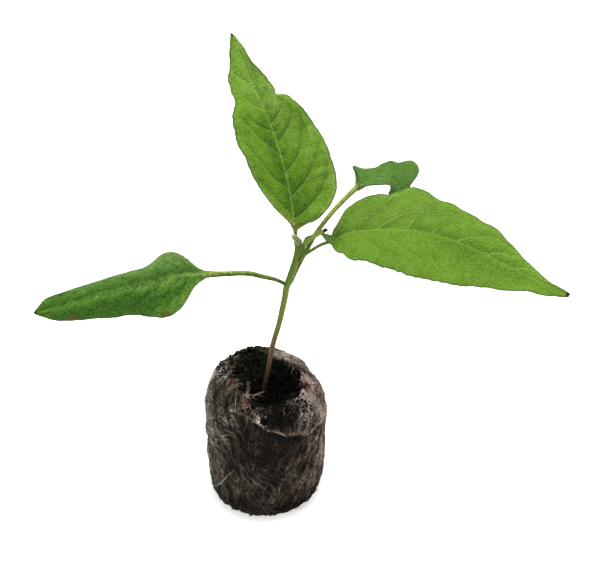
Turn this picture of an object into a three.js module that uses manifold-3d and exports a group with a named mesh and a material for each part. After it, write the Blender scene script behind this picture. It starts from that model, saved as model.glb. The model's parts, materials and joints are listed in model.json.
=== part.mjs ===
// Young chilli pepper plant rooted in a fleece-wrapped peat plug.
// Millimetres, +Z up. The origin is the centre of the plug's base, +Y points to the back.
// Three solids: the fleece wrap, the peat inside it, and the plant, which is one grown piece.

import * as THREE from 'three';
import Module from 'manifold-3d';

const wasm = await Module();
wasm.setup();

const V = (x, y, z) => new THREE.Vector3(x, y, z);

// Driving sizes

const fleeceThickness = 0.7;
const clearance = 0.3;
const plugFacets = 48;

// outer profile of the swollen plug: radius and height, from the base up over the shoulder
const plugProfile = [
  [16.5, 0], [19.0, 0.9], [20.1, 3.6], [20.5, 9], [20.5, 15], [20.4, 21], [20.0, 27],
  [19.7, 32], [19.2, 36], [18.5, 39], [17.4, 41.4], [16.0, 43.3], [14.4, 44.6], [12.4, 45.5],
  [10.4, 45.9], [8.4, 46.0],
];

// Angles round the plug are in degrees, 0 at +X and 90 at the back.
// How far from the axis the torn edge of the fleece stops, by angle.
const tornEdge = [
  [0, 11.0], [30, 9.6], [60, 8.9], [88, 9.8], [105, 13.8], [125, 15.4], [150, 13.2], [180, 11.0],
  [210, 9.8], [240, 10.6], [260, 15.2], [285, 16.9], [315, 16.2], [335, 13.4], [360, 11.0],
];

// the folded-in top lies over the side along this line: angle and height
const foldLine = [[236, 45], [258, 42], [281, 36.6], [312, 33], [341, 30], [372, 29]];
const foldStep = 0.5;

// flatter places: how far the wrap lies in, the angle and reach round the plug, and heights
const flatSide = { depth: 0.8, middle: 182, reach: 55, from: 6, to: 40 };
const flatShoulder = { depth: 1.2, middle: 52, reach: 42, from: 30, to: 60 };

// the stem leaves the peat at the bottom of the planting hollow
const stemFoot = V(0.4, 0, 38.2);
const hollowFloor = 38.0;
const hollowDip = { x: 3.2, y: -3.0, depth: 1.5, reach: 3.6 };

const stemPath = [
  V(-1.2, 0.2, 24), V(-0.5, 0.1, 31), V(0.4, 0, 38.2), V(1.9, 0.2, 46.2), V(3.5, 0.3, 56.4),
  V(5.0, 0.6, 63.2), V(6.7, 0.9, 71.2), V(7.6, 1.3, 76.5), V(8.7, 1.6, 80.0), V(9.9, 1.9, 83.9),
  V(10.6, 2.0, 87.2), V(10.7, 1.9, 90.0),
];
const stemRadius = [0.6, 0.75, 0.72, 0.66, 0.65, 0.7, 0.76, 0.84, 0.9, 0.95, 1.0, 0.75];

// Leaves: a stalk, then a midrib, each a smooth curve through a few points. "up" turns the
// upper face. Half-widths run from the stalk to the tip, closer together near the stalk, left
// and right of the midrib seen from the stalk. "lift" folds each half up from the midrib,
// "curl" bends it on towards the margin, both in degrees. Veins leave the midrib at the given
// fractions of its length. Each nick in a margin is its side, place, depth and spread.
const leaves = [
  {
    stalk: [V(10.7, 1.9, 88.4), V(10.3, 1.6, 91.0), V(10.2, 1.3, 93.4), V(10.0, 1.0, 95.7), V(9.8, 1.0, 96.9)],
    stalkUp: [V(-0.3, -0.9, 0.3), V(-0.1, -0.85, 0.5)],
    stalkRadius: [0.8, 0.6, 0.55, 0.6, 0.7],
    midrib: [
      V(9.8, 1, 96.9), V(8.6, 6, 104.5), V(6.8, 11, 110.5), V(4.3, 17, 117), V(1.1, 22, 123.5),
      V(-3.6, 28.5, 131.5), V(-8.1, 34, 141.3),
    ],
    up: [V(-0.1, -0.85, 0.5), V(-0.05, -0.8, 0.58), V(-0.05, -0.8, 0.58)],
    left: [0.8, 2.0, 5.1, 8.2, 9.9, 11.2, 12.3, 12.7, 12.0, 9.4, 6.8, 4.0, 0.5],
    right: [2.0, 9.2, 12.9, 14.4, 14.6, 13.9, 12.8, 11.7, 10.2, 6.8, 4.4, 1.9, 0.5],
    liftLeft: [25, 34, 30, 12],
    liftRight: [14, 12, 10, 8],
    curlLeft: [10, 10, 10],
    curlRight: [30, 10, 6],
    ears: [0, 3.4],
    veins: [0.04, 0.13, 0.26, 0.41, 0.54, 0.7, 0.85],
    wave: [0.6, 3.5, 0.6],
    nicks: [[1, 0.704, 1.6, 0.018], [-1, 0.84, -0.7, 0.035], [-1, 0.73, 0.4, 0.03], [-1, 0.66, -0.4, 0.03]],
    rowsPerVein: 4,
  },
  {
    stalk: [
      V(10.6, 1.9, 84.4), V(12.4, 1.4, 86.9), V(13.5, 1.2, 88.0), V(15.2, 1.1, 89.3),
      V(16.9, 1.0, 90.5), V(18.6, 1.0, 91.3), V(19.9, 1.0, 91.8),
    ],
    stalkUp: [V(-0.5, -0.4, 0.8), V(-0.1, -0.5, 0.86)],
    stalkRadius: [0.75, 0.55, 0.5, 0.5, 0.6],
    midrib: [
      V(19.9, 1, 91.8), V(24.5, 0, 94.8), V(31, -1, 96.3), V(39, -2.5, 97.2), V(48, -5.5, 97),
      V(57, -9, 95), V(68, -13.5, 91), V(81.3, -19, 86.2),
    ],
    up: [V(-0.1, -0.5, 0.86), V(0, -0.57, 0.82), V(0, -0.6, 0.8)],
    left: [0.8, 1.4, 3.6, 6.4, 8.9, 10.8, 11.9, 12.4, 10.9, 9.0, 7.0, 2.9, 0.5],
    right: [1.2, 3.6, 6.9, 9.9, 10.6, 11.7, 12.8, 13.8, 13.6, 12.7, 9.7, 4.9, 0.5],
    liftLeft: [25, 10, 8, 5],
    liftRight: [25, 10, 8, 5],
    curlLeft: [0, -6, -6],
    curlRight: [0, -10, -10],
    ears: [0, 0.5],
    veins: [0.04, 0.12, 0.24, 0.38, 0.53, 0.68, 0.84],
    wave: [0.5, 4.5, 0],
    nicks: [
      [-1, 0.37, 0.7, 0.035], [-1, 0.45, -0.8, 0.04], [-1, 0.545, 0.9, 0.035],
      [-1, 0.755, -0.9, 0.035], [1, 0.86, -0.7, 0.025], [1, 0.955, -0.8, 0.03],
    ],
  },
  {
    stalk: [
      V(7.8, 1.3, 77.6), V(5.7, 0.6, 79.3), V(3.8, 0.0, 80.4), V(0.7, -1.1, 81.8), V(-2.4, -2.0, 83.0),
      V(-5.5, -2.9, 83.8), V(-8.6, -3.4, 83.9), V(-11.7, -3.8, 84.0), V(-14.8, -4.0, 84.0),
    ],
    stalkUp: [V(0.4, 0.1, 0.9), V(0, -0.1, 1)],
    stalkRadius: [0.55, 0.5, 0.55, 0.62, 0.66, 0.68, 0.68, 0.72, 0.85],
    midrib: [
      V(-14.8, -4, 84.0), V(-20.7, -6, 84.9), V(-28, -7.3, 84.3), V(-35.5, -9, 83.5),
      V(-43.5, -11, 82.1), V(-52, -13.5, 80.4), V(-60.5, -16, 78.9),
    ],
    up: [V(0, -0.1, 1), V(0, -0.1, 1), V(0, -0.15, 1)],
    left: [0.9, 1.6, 3.4, 7.0, 11.8, 12.8, 12.0, 10.4, 9.1, 7.7, 6.4, 4.4, 0.5],
    right: [0.9, 2.0, 5.6, 12.6, 16.2, 16.6, 11.3, 9.9, 10.0, 9.6, 9.8, 10.8, 1.2],
    liftLeft: [0, -5, -8, -8],
    liftRight: [0, -2, -5, -8],
    curlLeft: [-20, -25, -25],
    curlRight: [-15, -20, -25],
    ears: [0, 0],
    veins: [0.05, 0.15, 0.28, 0.42, 0.56, 0.7, 0.85],
    wave: [0.35, 3.5, 1.2],
    nicks: [],
  },
  {
    stalk: [
      V(8.0, 1.5, 76.8), V(9.0, 1.9, 78.4), V(10.4, 2.5, 81.8), V(12.0, 3.4, 85.0), V(13.5, 4.6, 87.5),
      V(15.6, 6.8, 90.6), V(17.9, 9.6, 92.8), V(21.1, 13.5, 95.2), V(25.3, 19.0, 97.3), V(28.8, 24, 98.4),
    ],
    stalkUp: [V(-0.6, 0.2, 0.7), V(-0.4, -0.1, 0.9), V(-0.2, 0.1, 1)],
    stalkRadius: [0.5, 0.55, 0.6, 0.62, 0.62, 0.64, 0.7, 0.85],
    midrib: [
      V(28.8, 24, 98.4), V(32.1, 26.3, 99.2), V(35.7, 28.5, 99.6), V(39.3, 29.6, 99.3),
      V(42, 29.5, 97.5), V(43.4, 28.6, 94.6), V(44, 27.3, 91), V(44.2, 26, 86.8), V(44.2, 25, 82.1),
    ],
    up: [V(-0.2, 0.1, 1), V(-0.1, 0, 1), V(0.3, -0.4, 0.8), V(0.5, -0.8, 0.3), V(0.5, -0.85, 0.1)],
    left: [0.8, 5.0, 6.6, 6.6, 5.0, 4.8, 6.3, 10.8, 6.8, 3.6, 2.5, 1.5, 0.5],
    right: [1.0, 2.2, 3.6, 5.4, 6.4, 6.4, 5.4, 4.6, 3.8, 3.6, 3.1, 1.8, 0.5],
    liftLeft: [48, 16, 8, 5],
    liftRight: [8, 5, 5, 5],
    curlLeft: [0, 0, -10],
    curlRight: [0, -10, -10],
    ears: [0, 0],
    veins: [0.05, 0.17, 0.31, 0.46, 0.61, 0.76, 0.9],
    wave: [0.3, 3.0, 0.5],
    nicks: [],
  },
  // small folded lobe at the base of the right-hand leaf, lying over its stalk
  {
    stalk: [V(22.4, -0.1, 92.3), V(21.8, -0.3, 92.3), V(21.2, -0.5, 92.4)],
    stalkUp: [V(-0.3, -0.6, 0.7), V(-0.3, -0.6, 0.7)],
    stalkRadius: [0.4, 0.4, 0.4],
    midrib: [V(21.2, -0.5, 92.4), V(19.4, -1.1, 93.9), V(18.3, -1.4, 94.8), V(17.3, -1.7, 95.7)],
    up: [V(-0.3, -0.6, 0.7), V(-0.3, -0.6, 0.7)],
    left: [1.4, 1.3, 0.9, 0.3],
    right: [1.4, 1.2, 0.8, 0.3],
    liftLeft: [10, 10],
    liftRight: [10, 10],
    curlLeft: [0, 0],
    curlRight: [0, 0],
    ears: [0, 0],
    veins: [0.5],
    wave: [0, 1, 0],
    nicks: [],
    young: true,
  },
  // the newest leaf, still narrow and folded, and the smaller one that opens opposite it
  {
    stalk: [V(11.0, 1.9, 87.3), V(11.8, 1.0, 89.5), V(12.5, 0.2, 91.4)],
    stalkUp: [V(-0.6, -0.3, 0.7), V(-0.6, -0.3, 0.7)],
    stalkRadius: [0.7, 0.6, 0.6],
    midrib: [
      V(12.5, 0.2, 91.4), V(13.9, -0.8, 93.4), V(15.4, -1.6, 94.8), V(17.0, -2.3, 96.2), V(18.7, -3, 97.6),
    ],
    up: [V(-0.6, -0.3, 0.7), V(-0.6, -0.3, 0.7)],
    left: [0.7, 0.9, 0.8, 0.5, 0.3],
    right: [0.8, 1.2, 1.1, 0.8, 0.3],
    liftLeft: [35, 50, 30],
    liftRight: [35, 50, 30],
    curlLeft: [10, 10],
    curlRight: [10, 10],
    ears: [0, 0],
    veins: [0.3, 0.6],
    wave: [0.1, 2, 0],
    nicks: [],
    young: true,
  },
  {
    stalk: [V(11.6, 1.2, 89.6), V(11.6, 0.6, 90.5), V(11.3, 0.1, 91.4)],
    stalkUp: [V(0.5, -0.5, 0.7), V(0.5, -0.5, 0.7)],
    stalkRadius: [0.7, 0.65, 0.6],
    midrib: [V(11.3, 0.1, 91.4), V(11.0, -0.3, 92.3), V(10.3, -1.0, 93.6), V(9.3, -1.7, 94.9)],
    up: [V(0.5, -0.5, 0.7), V(0.5, -0.5, 0.7)],
    left: [0.7, 0.9, 0.8, 0.5],
    right: [0.7, 0.9, 0.8, 0.5],
    liftLeft: [20, 30],
    liftRight: [20, 30],
    curlLeft: [10, 10],
    curlRight: [10, 10],
    ears: [0, 0],
    veins: [0.5],
    wave: [0, 1, 0],
    nicks: [],
    young: true,
  },
];
const bladeThickness = 0.62;
const veinSlant = 0.22;
const widthSpacing = 0.75;
const stalkBlend = 0.016;
const quiltHeight = 0.35;
const acrossBlade = [-1, -0.8, -0.56, -0.3, -0.11, 0, 0.11, 0.3, 0.56, 0.8, 1];
const acrossYoung = [-1, -0.5, 0, 0.5, 1];

// Roots: a taproot that carries the stem on down, laterals through the peat, and the pale
// one that has come up beside the stem and lies on the peat
const lateral = [0.5, 0.4, 0.35, 0.3];
const roots = [
  { path: [V(-0.8, 0.2, 27), V(-1.2, 0.6, 18), V(-0.6, 0.2, 10), V(0.8, -0.6, 5)], radius: [0.7, 0.6, 0.42, 0.3] },
  { path: [V(0.0, 0.1, 34), V(4.5, 2.0, 31), V(9.0, 5.0, 27), V(13.0, 7.0, 20)], radius: lateral },
  { path: [V(-0.2, 0.1, 33), V(-4.0, 3.0, 30), V(-8.5, 6.5, 25), V(-12.0, 8.0, 17)], radius: lateral },
  { path: [V(-0.5, 0.1, 30), V(-3.5, -3.5, 27), V(-8.0, -7.0, 22), V(-11.0, -10.0, 14)], radius: lateral },
  { path: [V(-0.3, 0.1, 31), V(3.0, -4.0, 28), V(7.0, -8.5, 23), V(10.0, -11.5, 15)], radius: lateral },
  { path: [V(-0.9, 0.3, 25), V(0.5, 5.0, 22), V(2.0, 9.5, 16), V(2.0, 12.5, 9)], radius: lateral },
  { path: [V(-1.1, 0.5, 20), V(4.0, -1.0, 16), V(8.5, -2.5, 11), V(11.5, -3.0, 5)], radius: lateral },
  { path: [V(-1.1, 0.5, 16), V(-5.0, 1.0, 13), V(-9.0, -1.5, 9), V(-12.0, -2.5, 4)], radius: lateral },
];
const surfaceRoot = {
  path: [V(0.4, -0.2, 37.6), V(-0.5, -1.9, 0), V(-1.7, -2.3, 0), V(-3.1, -3.2, 0), V(-3.5, -4.6, 0)],
  radius: [0.4, 0.34, 0.32, 0.3, 0.3],
};

// Small helpers

const radians = THREE.MathUtils.degToRad;
const smooth = (x) => THREE.MathUtils.smoothstep(x, 0, 1);

// smooth curve through evenly spaced numbers, its ends carried straight on
function along(values, t) {
  const n = values.length;
  const p = THREE.MathUtils.clamp(t, 0, 1) * (n - 1);
  const i = Math.min(Math.floor(p), n - 2);
  const w = p - i;
  const p1 = values[i];
  const p2 = values[i + 1];
  const p0 = i > 0 ? values[i - 1] : 2 * p1 - p2;
  const p3 = i + 2 < n ? values[i + 2] : 2 * p2 - p1;
  const a = 0.5 * (p2 - p0);
  const b = 0.5 * (p3 - p1);
  return (2 * p1 - 2 * p2 + a + b) * w ** 3 + (-3 * p1 + 3 * p2 - 2 * a - b) * w ** 2 + a * w + p1;
}

const curveOf = (points) => new THREE.CatmullRomCurve3(points, false, 'catmullrom', 0.5);

function upAlong(ups, t) {
  return V(
    along(ups.map((u) => u.x), t),
    along(ups.map((u) => u.y), t),
    along(ups.map((u) => u.z), t),
  );
}

// tangent, upper-face normal and right-hand side at a point of a curve
function frameAt(curve, ups, t) {
  const e = 1e-3;
  const tangent = curve.getPoint(Math.min(t + e, 1)).sub(curve.getPoint(Math.max(t - e, 0))).normalize();
  const normal = upAlong(ups, t);
  normal.addScaledVector(tangent, -normal.dot(tangent)).normalize();
  return { at: curve.getPoint(t), tangent, normal, side: tangent.clone().cross(normal) };
}

// closed body through rings of points, with a fan at each end; "flips" turns the diagonal
function loft(rings, flips = () => false) {
  const n = rings[0].length;
  const points = rings.flat();
  const faces = [];
  for (let j = 0; j + 1 < rings.length; j++) {
    for (let k = 0; k < n; k++) {
      const a = j * n + k;
      const b = j * n + ((k + 1) % n);
      const c = b + n;
      const d = a + n;
      if (flips(k)) faces.push([a, b, d], [b, c, d]);
      else faces.push([a, b, c], [a, c, d]);
    }
  }
  for (const j of [0, rings.length - 1]) {
    const middle = points.length;
    const centre = V(0, 0, 0);
    for (const p of rings[j]) centre.addScaledVector(p, 1 / n);
    points.push(centre);
    for (let k = 0; k < n; k++) {
      const a = j * n + k;
      const b = j * n + ((k + 1) % n);
      faces.push(j === 0 ? [middle, b, a] : [middle, a, b]);
    }
  }
  return solidOf(points, faces);
}

function solidOf(points, faces) {
  let volume = 0;
  for (const [a, b, c] of faces) volume += points[a].dot(points[b].clone().cross(points[c]));
  const outward = volume > 0 ? faces : faces.map(([a, b, c]) => [a, c, b]);
  return new wasm.Manifold(new wasm.Mesh({
    numProp: 3,
    vertProperties: new Float32Array(points.flatMap((p) => p.toArray())),
    triVerts: new Uint32Array(outward.flat()),
  }));
}

// round tube of changing radius along a smooth path
function tube({ path, radius }, sides, steps, extra = 0) {
  const curve = curveOf(path);
  const frames = curve.computeFrenetFrames(steps, false);
  const rings = [];
  for (let j = 0; j <= steps; j++) {
    const t = j / steps;
    const at = curve.getPointAt(t);
    if (extra && j === 0) at.addScaledVector(frames.tangents[0], -extra);
    if (extra && j === steps) at.addScaledVector(frames.tangents[j], extra);
    const r = along(radius, t) + extra;
    rings.push(Array.from({ length: sides }, (_, k) => {
      const a = (2 * Math.PI * k) / sides;
      return at.clone()
        .addScaledVector(frames.normals[j], r * Math.cos(a))
        .addScaledVector(frames.binormals[j], r * Math.sin(a));
    }));
  }
  return loft(rings);
}

// Leaf

// point of the blade's middle sheet: s runs from the stalk to the tip along the veins,
// v runs from the left margin (-1) over the midrib (0) to the right margin (1)
function bladePoint(leaf, s, v) {
  const a = Math.abs(v);
  const side = v < 0 ? -1 : 1;
  const bend = (1 - s) * (1 - Math.exp(-s / 0.06));
  const u = THREE.MathUtils.clamp(s + veinSlant * bend * a ** 1.3, 0, 1);
  const f = frameAt(leaf.curve, leaf.up, u);
  let w = along(side < 0 ? leaf.left : leaf.right, u ** widthSpacing);
  for (const [on, at, depth, spread] of leaf.nicks) {
    if (on === side) w -= depth * Math.exp(-(((u - at) / spread) ** 2));
  }
  const lift = radians(along(side < 0 ? leaf.liftLeft : leaf.liftRight, u));
  let curl = radians(along(side < 0 ? leaf.curlLeft : leaf.curlRight, u));
  if (Math.abs(curl) < 1e-4) curl = 1e-4;
  const out = (Math.sin(lift + curl * a) - Math.sin(lift)) / curl;
  const rise = (Math.cos(lift) - Math.cos(lift + curl * a)) / curl;
  const [waveHeight, waves, start] = leaf.wave;
  const ripple = waveHeight * a * a * Math.sin(2 * Math.PI * waves * u + start + side) * smooth(u / 0.15);
  const ear = leaf.ears[side < 0 ? 0 : 1] * a * Math.exp(-((u / 0.1) ** 2));
  return f.at.clone()
    .addScaledVector(f.side, side * w * out)
    .addScaledVector(f.normal, w * rise + ripple + quilt(leaf, s, a) * Math.min(1, w / 6))
    .addScaledVector(f.tangent, -ear);
}

// the blade swells between neighbouring veins
function quilt(leaf, s, a) {
  const stops = [0, ...leaf.veins, 1];
  const i = Math.min(stops.findLastIndex((x) => x <= s), stops.length - 2);
  const f = (s - stops[i]) / (stops[i + 1] - stops[i]);
  return quiltHeight * Math.sin(Math.PI * f) * Math.sin(Math.PI * Math.min(a, 1)) ** 0.7;
}

function bladeNormal(leaf, s, v) {
  const e = 0.01;
  const ds = bladePoint(leaf, Math.min(s + e, 1), v).sub(bladePoint(leaf, Math.max(s - e, 0), v));
  const dv = bladePoint(leaf, s, Math.min(v + e, 1)).sub(bladePoint(leaf, s, Math.max(v - e, -1)));
  return dv.cross(ds).normalize();
}

function leafSolid(leaf) {
  leaf.curve = curveOf(leaf.midrib);
  const across = leaf.young ? acrossYoung : acrossBlade;
  const n = across.length;
  const rings = [];

  // a stalk or rib section with as many points as the blade section, flattened on top
  const stalkRing = (f, r) => Array.from({ length: 2 * n }, (_, k) => {
    const a = k < n ? Math.PI * (1 - (k + 0.5) / n) : -Math.PI * (k - n + 0.5) / n;
    const up = Math.sin(a) * (Math.sin(a) > 0 ? 0.8 : 1);
    return f.at.clone().addScaledVector(f.side, r * Math.cos(a)).addScaledVector(f.normal, r * up);
  });
  const stalk = curveOf(leaf.stalk);
  const stalkSteps = Math.max(2, Math.round(stalk.getLength() / 3.2));
  for (let j = 0; j < stalkSteps; j++) {
    const t = j / stalkSteps;
    rings.push(stalkRing(frameAt(stalk, leaf.stalkUp, t), along(leaf.stalkRadius, t)));
  }

  const stops = [0, ...leaf.veins, 1];
  const rows = [0, 0.4 * stalkBlend];
  for (let i = 0; i + 1 < stops.length; i++) {
    const parts = leaf.rowsPerVein ?? (leaf.young ? 2 : 3);
    for (let k = 1; k <= parts; k++) rows.push(stops[i] + ((stops[i + 1] - stops[i]) * k) / parts);
  }
  for (const s of rows) {
    const ribRadius = THREE.MathUtils.lerp(leaf.stalkRadius.at(-1), 0.25, s ** 0.7);
    const round = stalkRing(frameAt(leaf.curve, leaf.up, s), ribRadius);
    const ring = [];
    for (const under of [false, true]) {
      for (const v of under ? [...across].reverse() : across) {
        const half = bladeThickness / 2;
        const rib = under && v === 0 ? ribRadius * 0.9 : 0;
        ring.push(bladePoint(leaf, s, v).addScaledVector(bladeNormal(leaf, s, v), under ? -half - rib : half));
      }
    }
    const spread = smooth(s / stalkBlend);
    rings.push(ring.map((p, k) => round[k].clone().lerp(p, spread)));
  }
  // the diagonals mirror about the midrib and match on the upper and under face
  return loft(rings, (k) => k % n >= (n - 1) / 2);
}

// Plug

const profileCurve = curveOf(plugProfile.map(([r, z]) => V(r, 0, z)));

const degreesOf = (angle) => ((THREE.MathUtils.radToDeg(angle) % 360) + 360) % 360;

// value at an angle in a list of [angle, value], eased from one to the next
function roundTheRim(list, deg) {
  const i = THREE.MathUtils.clamp(list.findIndex(([a]) => a > deg), 1, list.length - 1);
  const [a0, r0] = list[i - 1];
  const [a1, r1] = list[i];
  return THREE.MathUtils.lerp(r0, r1, smooth((deg - a0) / (a1 - a0)));
}

const openingRadius = (angle) => roundTheRim(tornEdge, degreesOf(angle));
const fray = (angle) => 0.35 * Math.sin(11 * angle + 1) + 0.25 * Math.sin(17 * angle);
const tornRadius = (angle) => openingRadius(angle) + fray(angle);

// dents and swellings of the wrapped side, pleats on the shoulder and the edge of the fold
function dent(angle, z) {
  const deg = degreesOf(angle);
  const side = smooth(z / 6) * smooth((45 - z) / 8);
  const swell = 0.28 * Math.sin(2 * angle + 0.11 * z) + 0.2 * Math.sin(5 * angle - 0.17 * z + 1);
  const pleats = 0.22 * Math.sin(9 * angle + 0.2 * z) * smooth((z - 33) / 5) * smooth((46 - z) / 3);
  const round = deg < 30 ? deg + 360 : deg;
  const ends = smooth((round - 236) / 15) * smooth((388 - round) / 20);
  const above = z - roundTheRim(foldLine, round);
  const fold = foldStep * ends * smooth((above + 1.2) / 2.4) * smooth((45.5 - z) / 4);
  return side * swell + pleats + fold - flatAt(flatSide, deg, z) - flatAt(flatShoulder, deg, z);
}

function flatAt({ depth, middle, reach, from, to }, deg, z) {
  const half = (to - from) / 2;
  const away = Math.abs(z - from - half) / half;
  return depth * smooth(1 - Math.abs(deg - middle) / reach) * smooth(1.6 * (1 - away));
}

// point of the wrap at a fraction of the profile, sunk below its outer face by "depth"
function wrapPoint(angle, t, depth) {
  const p = profileCurve.getPoint(t);
  const q = profileCurve.getTangent(t);
  const r = p.x + dent(angle, p.z) - depth * q.z;
  const z = p.z + depth * q.x;
  return V(r * Math.cos(angle), r * Math.sin(angle), z);
}

// fraction of the profile at which the wrap reaches a radius over the shoulder
function shoulderAt(radius) {
  let low = 0.5;
  let high = 1;
  for (let i = 0; i < 30; i++) {
    const mid = (low + high) / 2;
    if (profileCurve.getPoint(mid).x > radius) low = mid;
    else high = mid;
  }
  return low;
}

const profileRows = plugProfile.length - 1;

function fleeceSolid() {
  const rings = [];
  for (let k = 0; k < plugFacets; k++) {
    const angle = (2 * Math.PI * k) / plugFacets;
    const end = shoulderAt(tornRadius(angle));
    const outer = [];
    const inner = [];
    for (let j = 0; j <= profileRows; j++) {
      const t = (end * j) / profileRows;
      outer.push(wrapPoint(angle, t, 0));
      inner.push(wrapPoint(angle, t, fleeceThickness));
    }
    outer[0].z = 0;
    inner[0].z = fleeceThickness;
    rings.push([outer, inner]);
  }
  const points = [V(0, 0, 0), V(0, 0, fleeceThickness)];
  const rows = profileRows + 1;
  for (const [outer, inner] of rings) points.push(...outer, ...inner);
  const at = (k, layer, j) => 2 + (k % plugFacets) * rows * 2 + layer * rows + j;
  const faces = [];
  for (let k = 0; k < plugFacets; k++) {
    faces.push([0, at(k + 1, 0, 0), at(k, 0, 0)], [1, at(k, 1, 0), at(k + 1, 1, 0)]);
    for (let j = 0; j < profileRows; j++) {
      faces.push([at(k, 0, j), at(k + 1, 0, j), at(k + 1, 0, j + 1)]);
      faces.push([at(k, 0, j), at(k + 1, 0, j + 1), at(k, 0, j + 1)]);
      faces.push([at(k, 1, j), at(k + 1, 1, j + 1), at(k + 1, 1, j)]);
      faces.push([at(k, 1, j), at(k, 1, j + 1), at(k + 1, 1, j + 1)]);
    }
    const j = profileRows;
    faces.push([at(k, 0, j), at(k + 1, 0, j), at(k + 1, 1, j)], [at(k, 0, j), at(k + 1, 1, j), at(k, 1, j)]);
  }
  return solidOf(points, faces);
}

// height of the bare peat inside the torn edge: a crumbly hollow round the stem
function peatHeight(x, y) {
  const angle = Math.atan2(y, x);
  const rim = openingRadius(angle) - 0.6;
  const rimHeight = profileCurve.getPoint(shoulderAt(rim)).z - fleeceThickness - clearance - 0.3;
  const away = Math.hypot(x - stemFoot.x, y - stemFoot.y);
  const reach = Math.hypot(rim * Math.cos(angle) - stemFoot.x, rim * Math.sin(angle) - stemFoot.y);
  const f = Math.min(away / reach, 1);
  const flat = THREE.MathUtils.lerp(0.52, 0.1, smooth(0.5 + 0.5 * Math.sin(angle)));
  const crumbs = 0.55 * Math.sin(1.15 * x + 0.6) * Math.sin(0.95 * y + 0.4)
    + 0.4 * Math.sin(2.1 * x - 1.6 * y) + 0.3 * Math.sin(1.4 * x + 2.4 * y);
  const fromDip = Math.hypot(x - hollowDip.x, y - hollowDip.y) / hollowDip.reach;
  const dip = hollowDip.depth * Math.exp(-(fromDip ** 2));
  const bowl = THREE.MathUtils.lerp(hollowFloor, rimHeight, smooth((f - flat) / (0.97 - flat)));
  return bowl + crumbs * smooth(f * 3.5) * smooth((1 - f) * 4) - dip * smooth(f * 3);
}

function peatSolid() {
  const depth = fleeceThickness + clearance;
  const topRings = 7;
  const columns = [];
  for (let k = 0; k < plugFacets; k++) {
    const angle = (2 * Math.PI * k) / plugFacets;
    const torn = tornRadius(angle);
    const end = shoulderAt(torn);
    const column = [];
    for (let j = 0; j <= profileRows; j++) column.push(wrapPoint(angle, (end * j) / profileRows, depth));
    column[0].z = depth;
    for (let j = 0; j < topRings; j++) {
      const f = 1 - j / topRings;
      const x = stemFoot.x + ((torn - 0.6) * Math.cos(angle) - stemFoot.x) * f;
      const y = stemFoot.y + ((torn - 0.6) * Math.sin(angle) - stemFoot.y) * f;
      const below = wrapPoint(angle, end, depth).z - 0.2;
      column.push(V(x, y, Math.min(peatHeight(x, y), below)));
    }
    columns.push(column);
  }
  const rows = columns[0].length;
  const points = [V(0, 0, depth), V(stemFoot.x, stemFoot.y, hollowFloor)];
  for (const column of columns) points.push(...column);
  const at = (k, j) => 2 + (k % plugFacets) * rows + j;
  const faces = [];
  for (let k = 0; k < plugFacets; k++) {
    faces.push([0, at(k + 1, 0), at(k, 0)], [1, at(k, rows - 1), at(k + 1, rows - 1)]);
    for (let j = 0; j + 1 < rows; j++) {
      faces.push([at(k, j), at(k + 1, j), at(k + 1, j + 1)], [at(k, j), at(k + 1, j + 1), at(k, j + 1)]);
    }
  }
  return solidOf(points, faces);
}

// Assembly

for (const p of surfaceRoot.path.slice(1)) p.z = peatHeight(p.x, p.y) + 0.35;

const stem = tube({ path: stemPath, radius: stemRadius }, 12, 26);
const buried = { path: stemPath.slice(0, 4), radius: stemRadius.slice(0, 4) };

const plantParts = [stem, ...leaves.map(leafSolid)];
for (const root of roots) plantParts.push(tube(root, 6, 7));
plantParts.push(tube(surfaceRoot, 6, 6));
const plantSolid = plantParts.reduce((whole, piece) => whole.add(piece));

let peat = peatSolid();
for (const root of roots) peat = peat.subtract(tube(root, 6, 7, clearance));
peat = peat.subtract(tube(surfaceRoot, 6, 6, clearance));
peat = peat.subtract(tube(buried, 12, 9, clearance + 0.05));

function meshOf(name, solid, material) {
  const { vertProperties, triVerts } = solid.getMesh();
  const geometry = new THREE.BufferGeometry();
  geometry.setAttribute('position', new THREE.BufferAttribute(new Float32Array(vertProperties), 3));
  geometry.setIndex(new THREE.BufferAttribute(new Uint32Array(triVerts), 1));
  geometry.computeVertexNormals();
  const mesh = new THREE.Mesh(geometry, new THREE.MeshStandardMaterial(material));
  mesh.name = name;
  return mesh;
}

const group = new THREE.Group();
group.add(meshOf('fleece_wrap', fleeceSolid(), { color: '#6f6a61', roughness: 0.95, metalness: 0 }));
group.add(meshOf('peat_plug', peat, { color: '#1b1a15', roughness: 1, metalness: 0 }));
group.add(meshOf('chilli_plant', plantSolid, { color: '#6c9a3c', roughness: 0.5, metalness: 0 }));

export default group;
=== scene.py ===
import itertools
import json
import math
from types import SimpleNamespace

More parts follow.
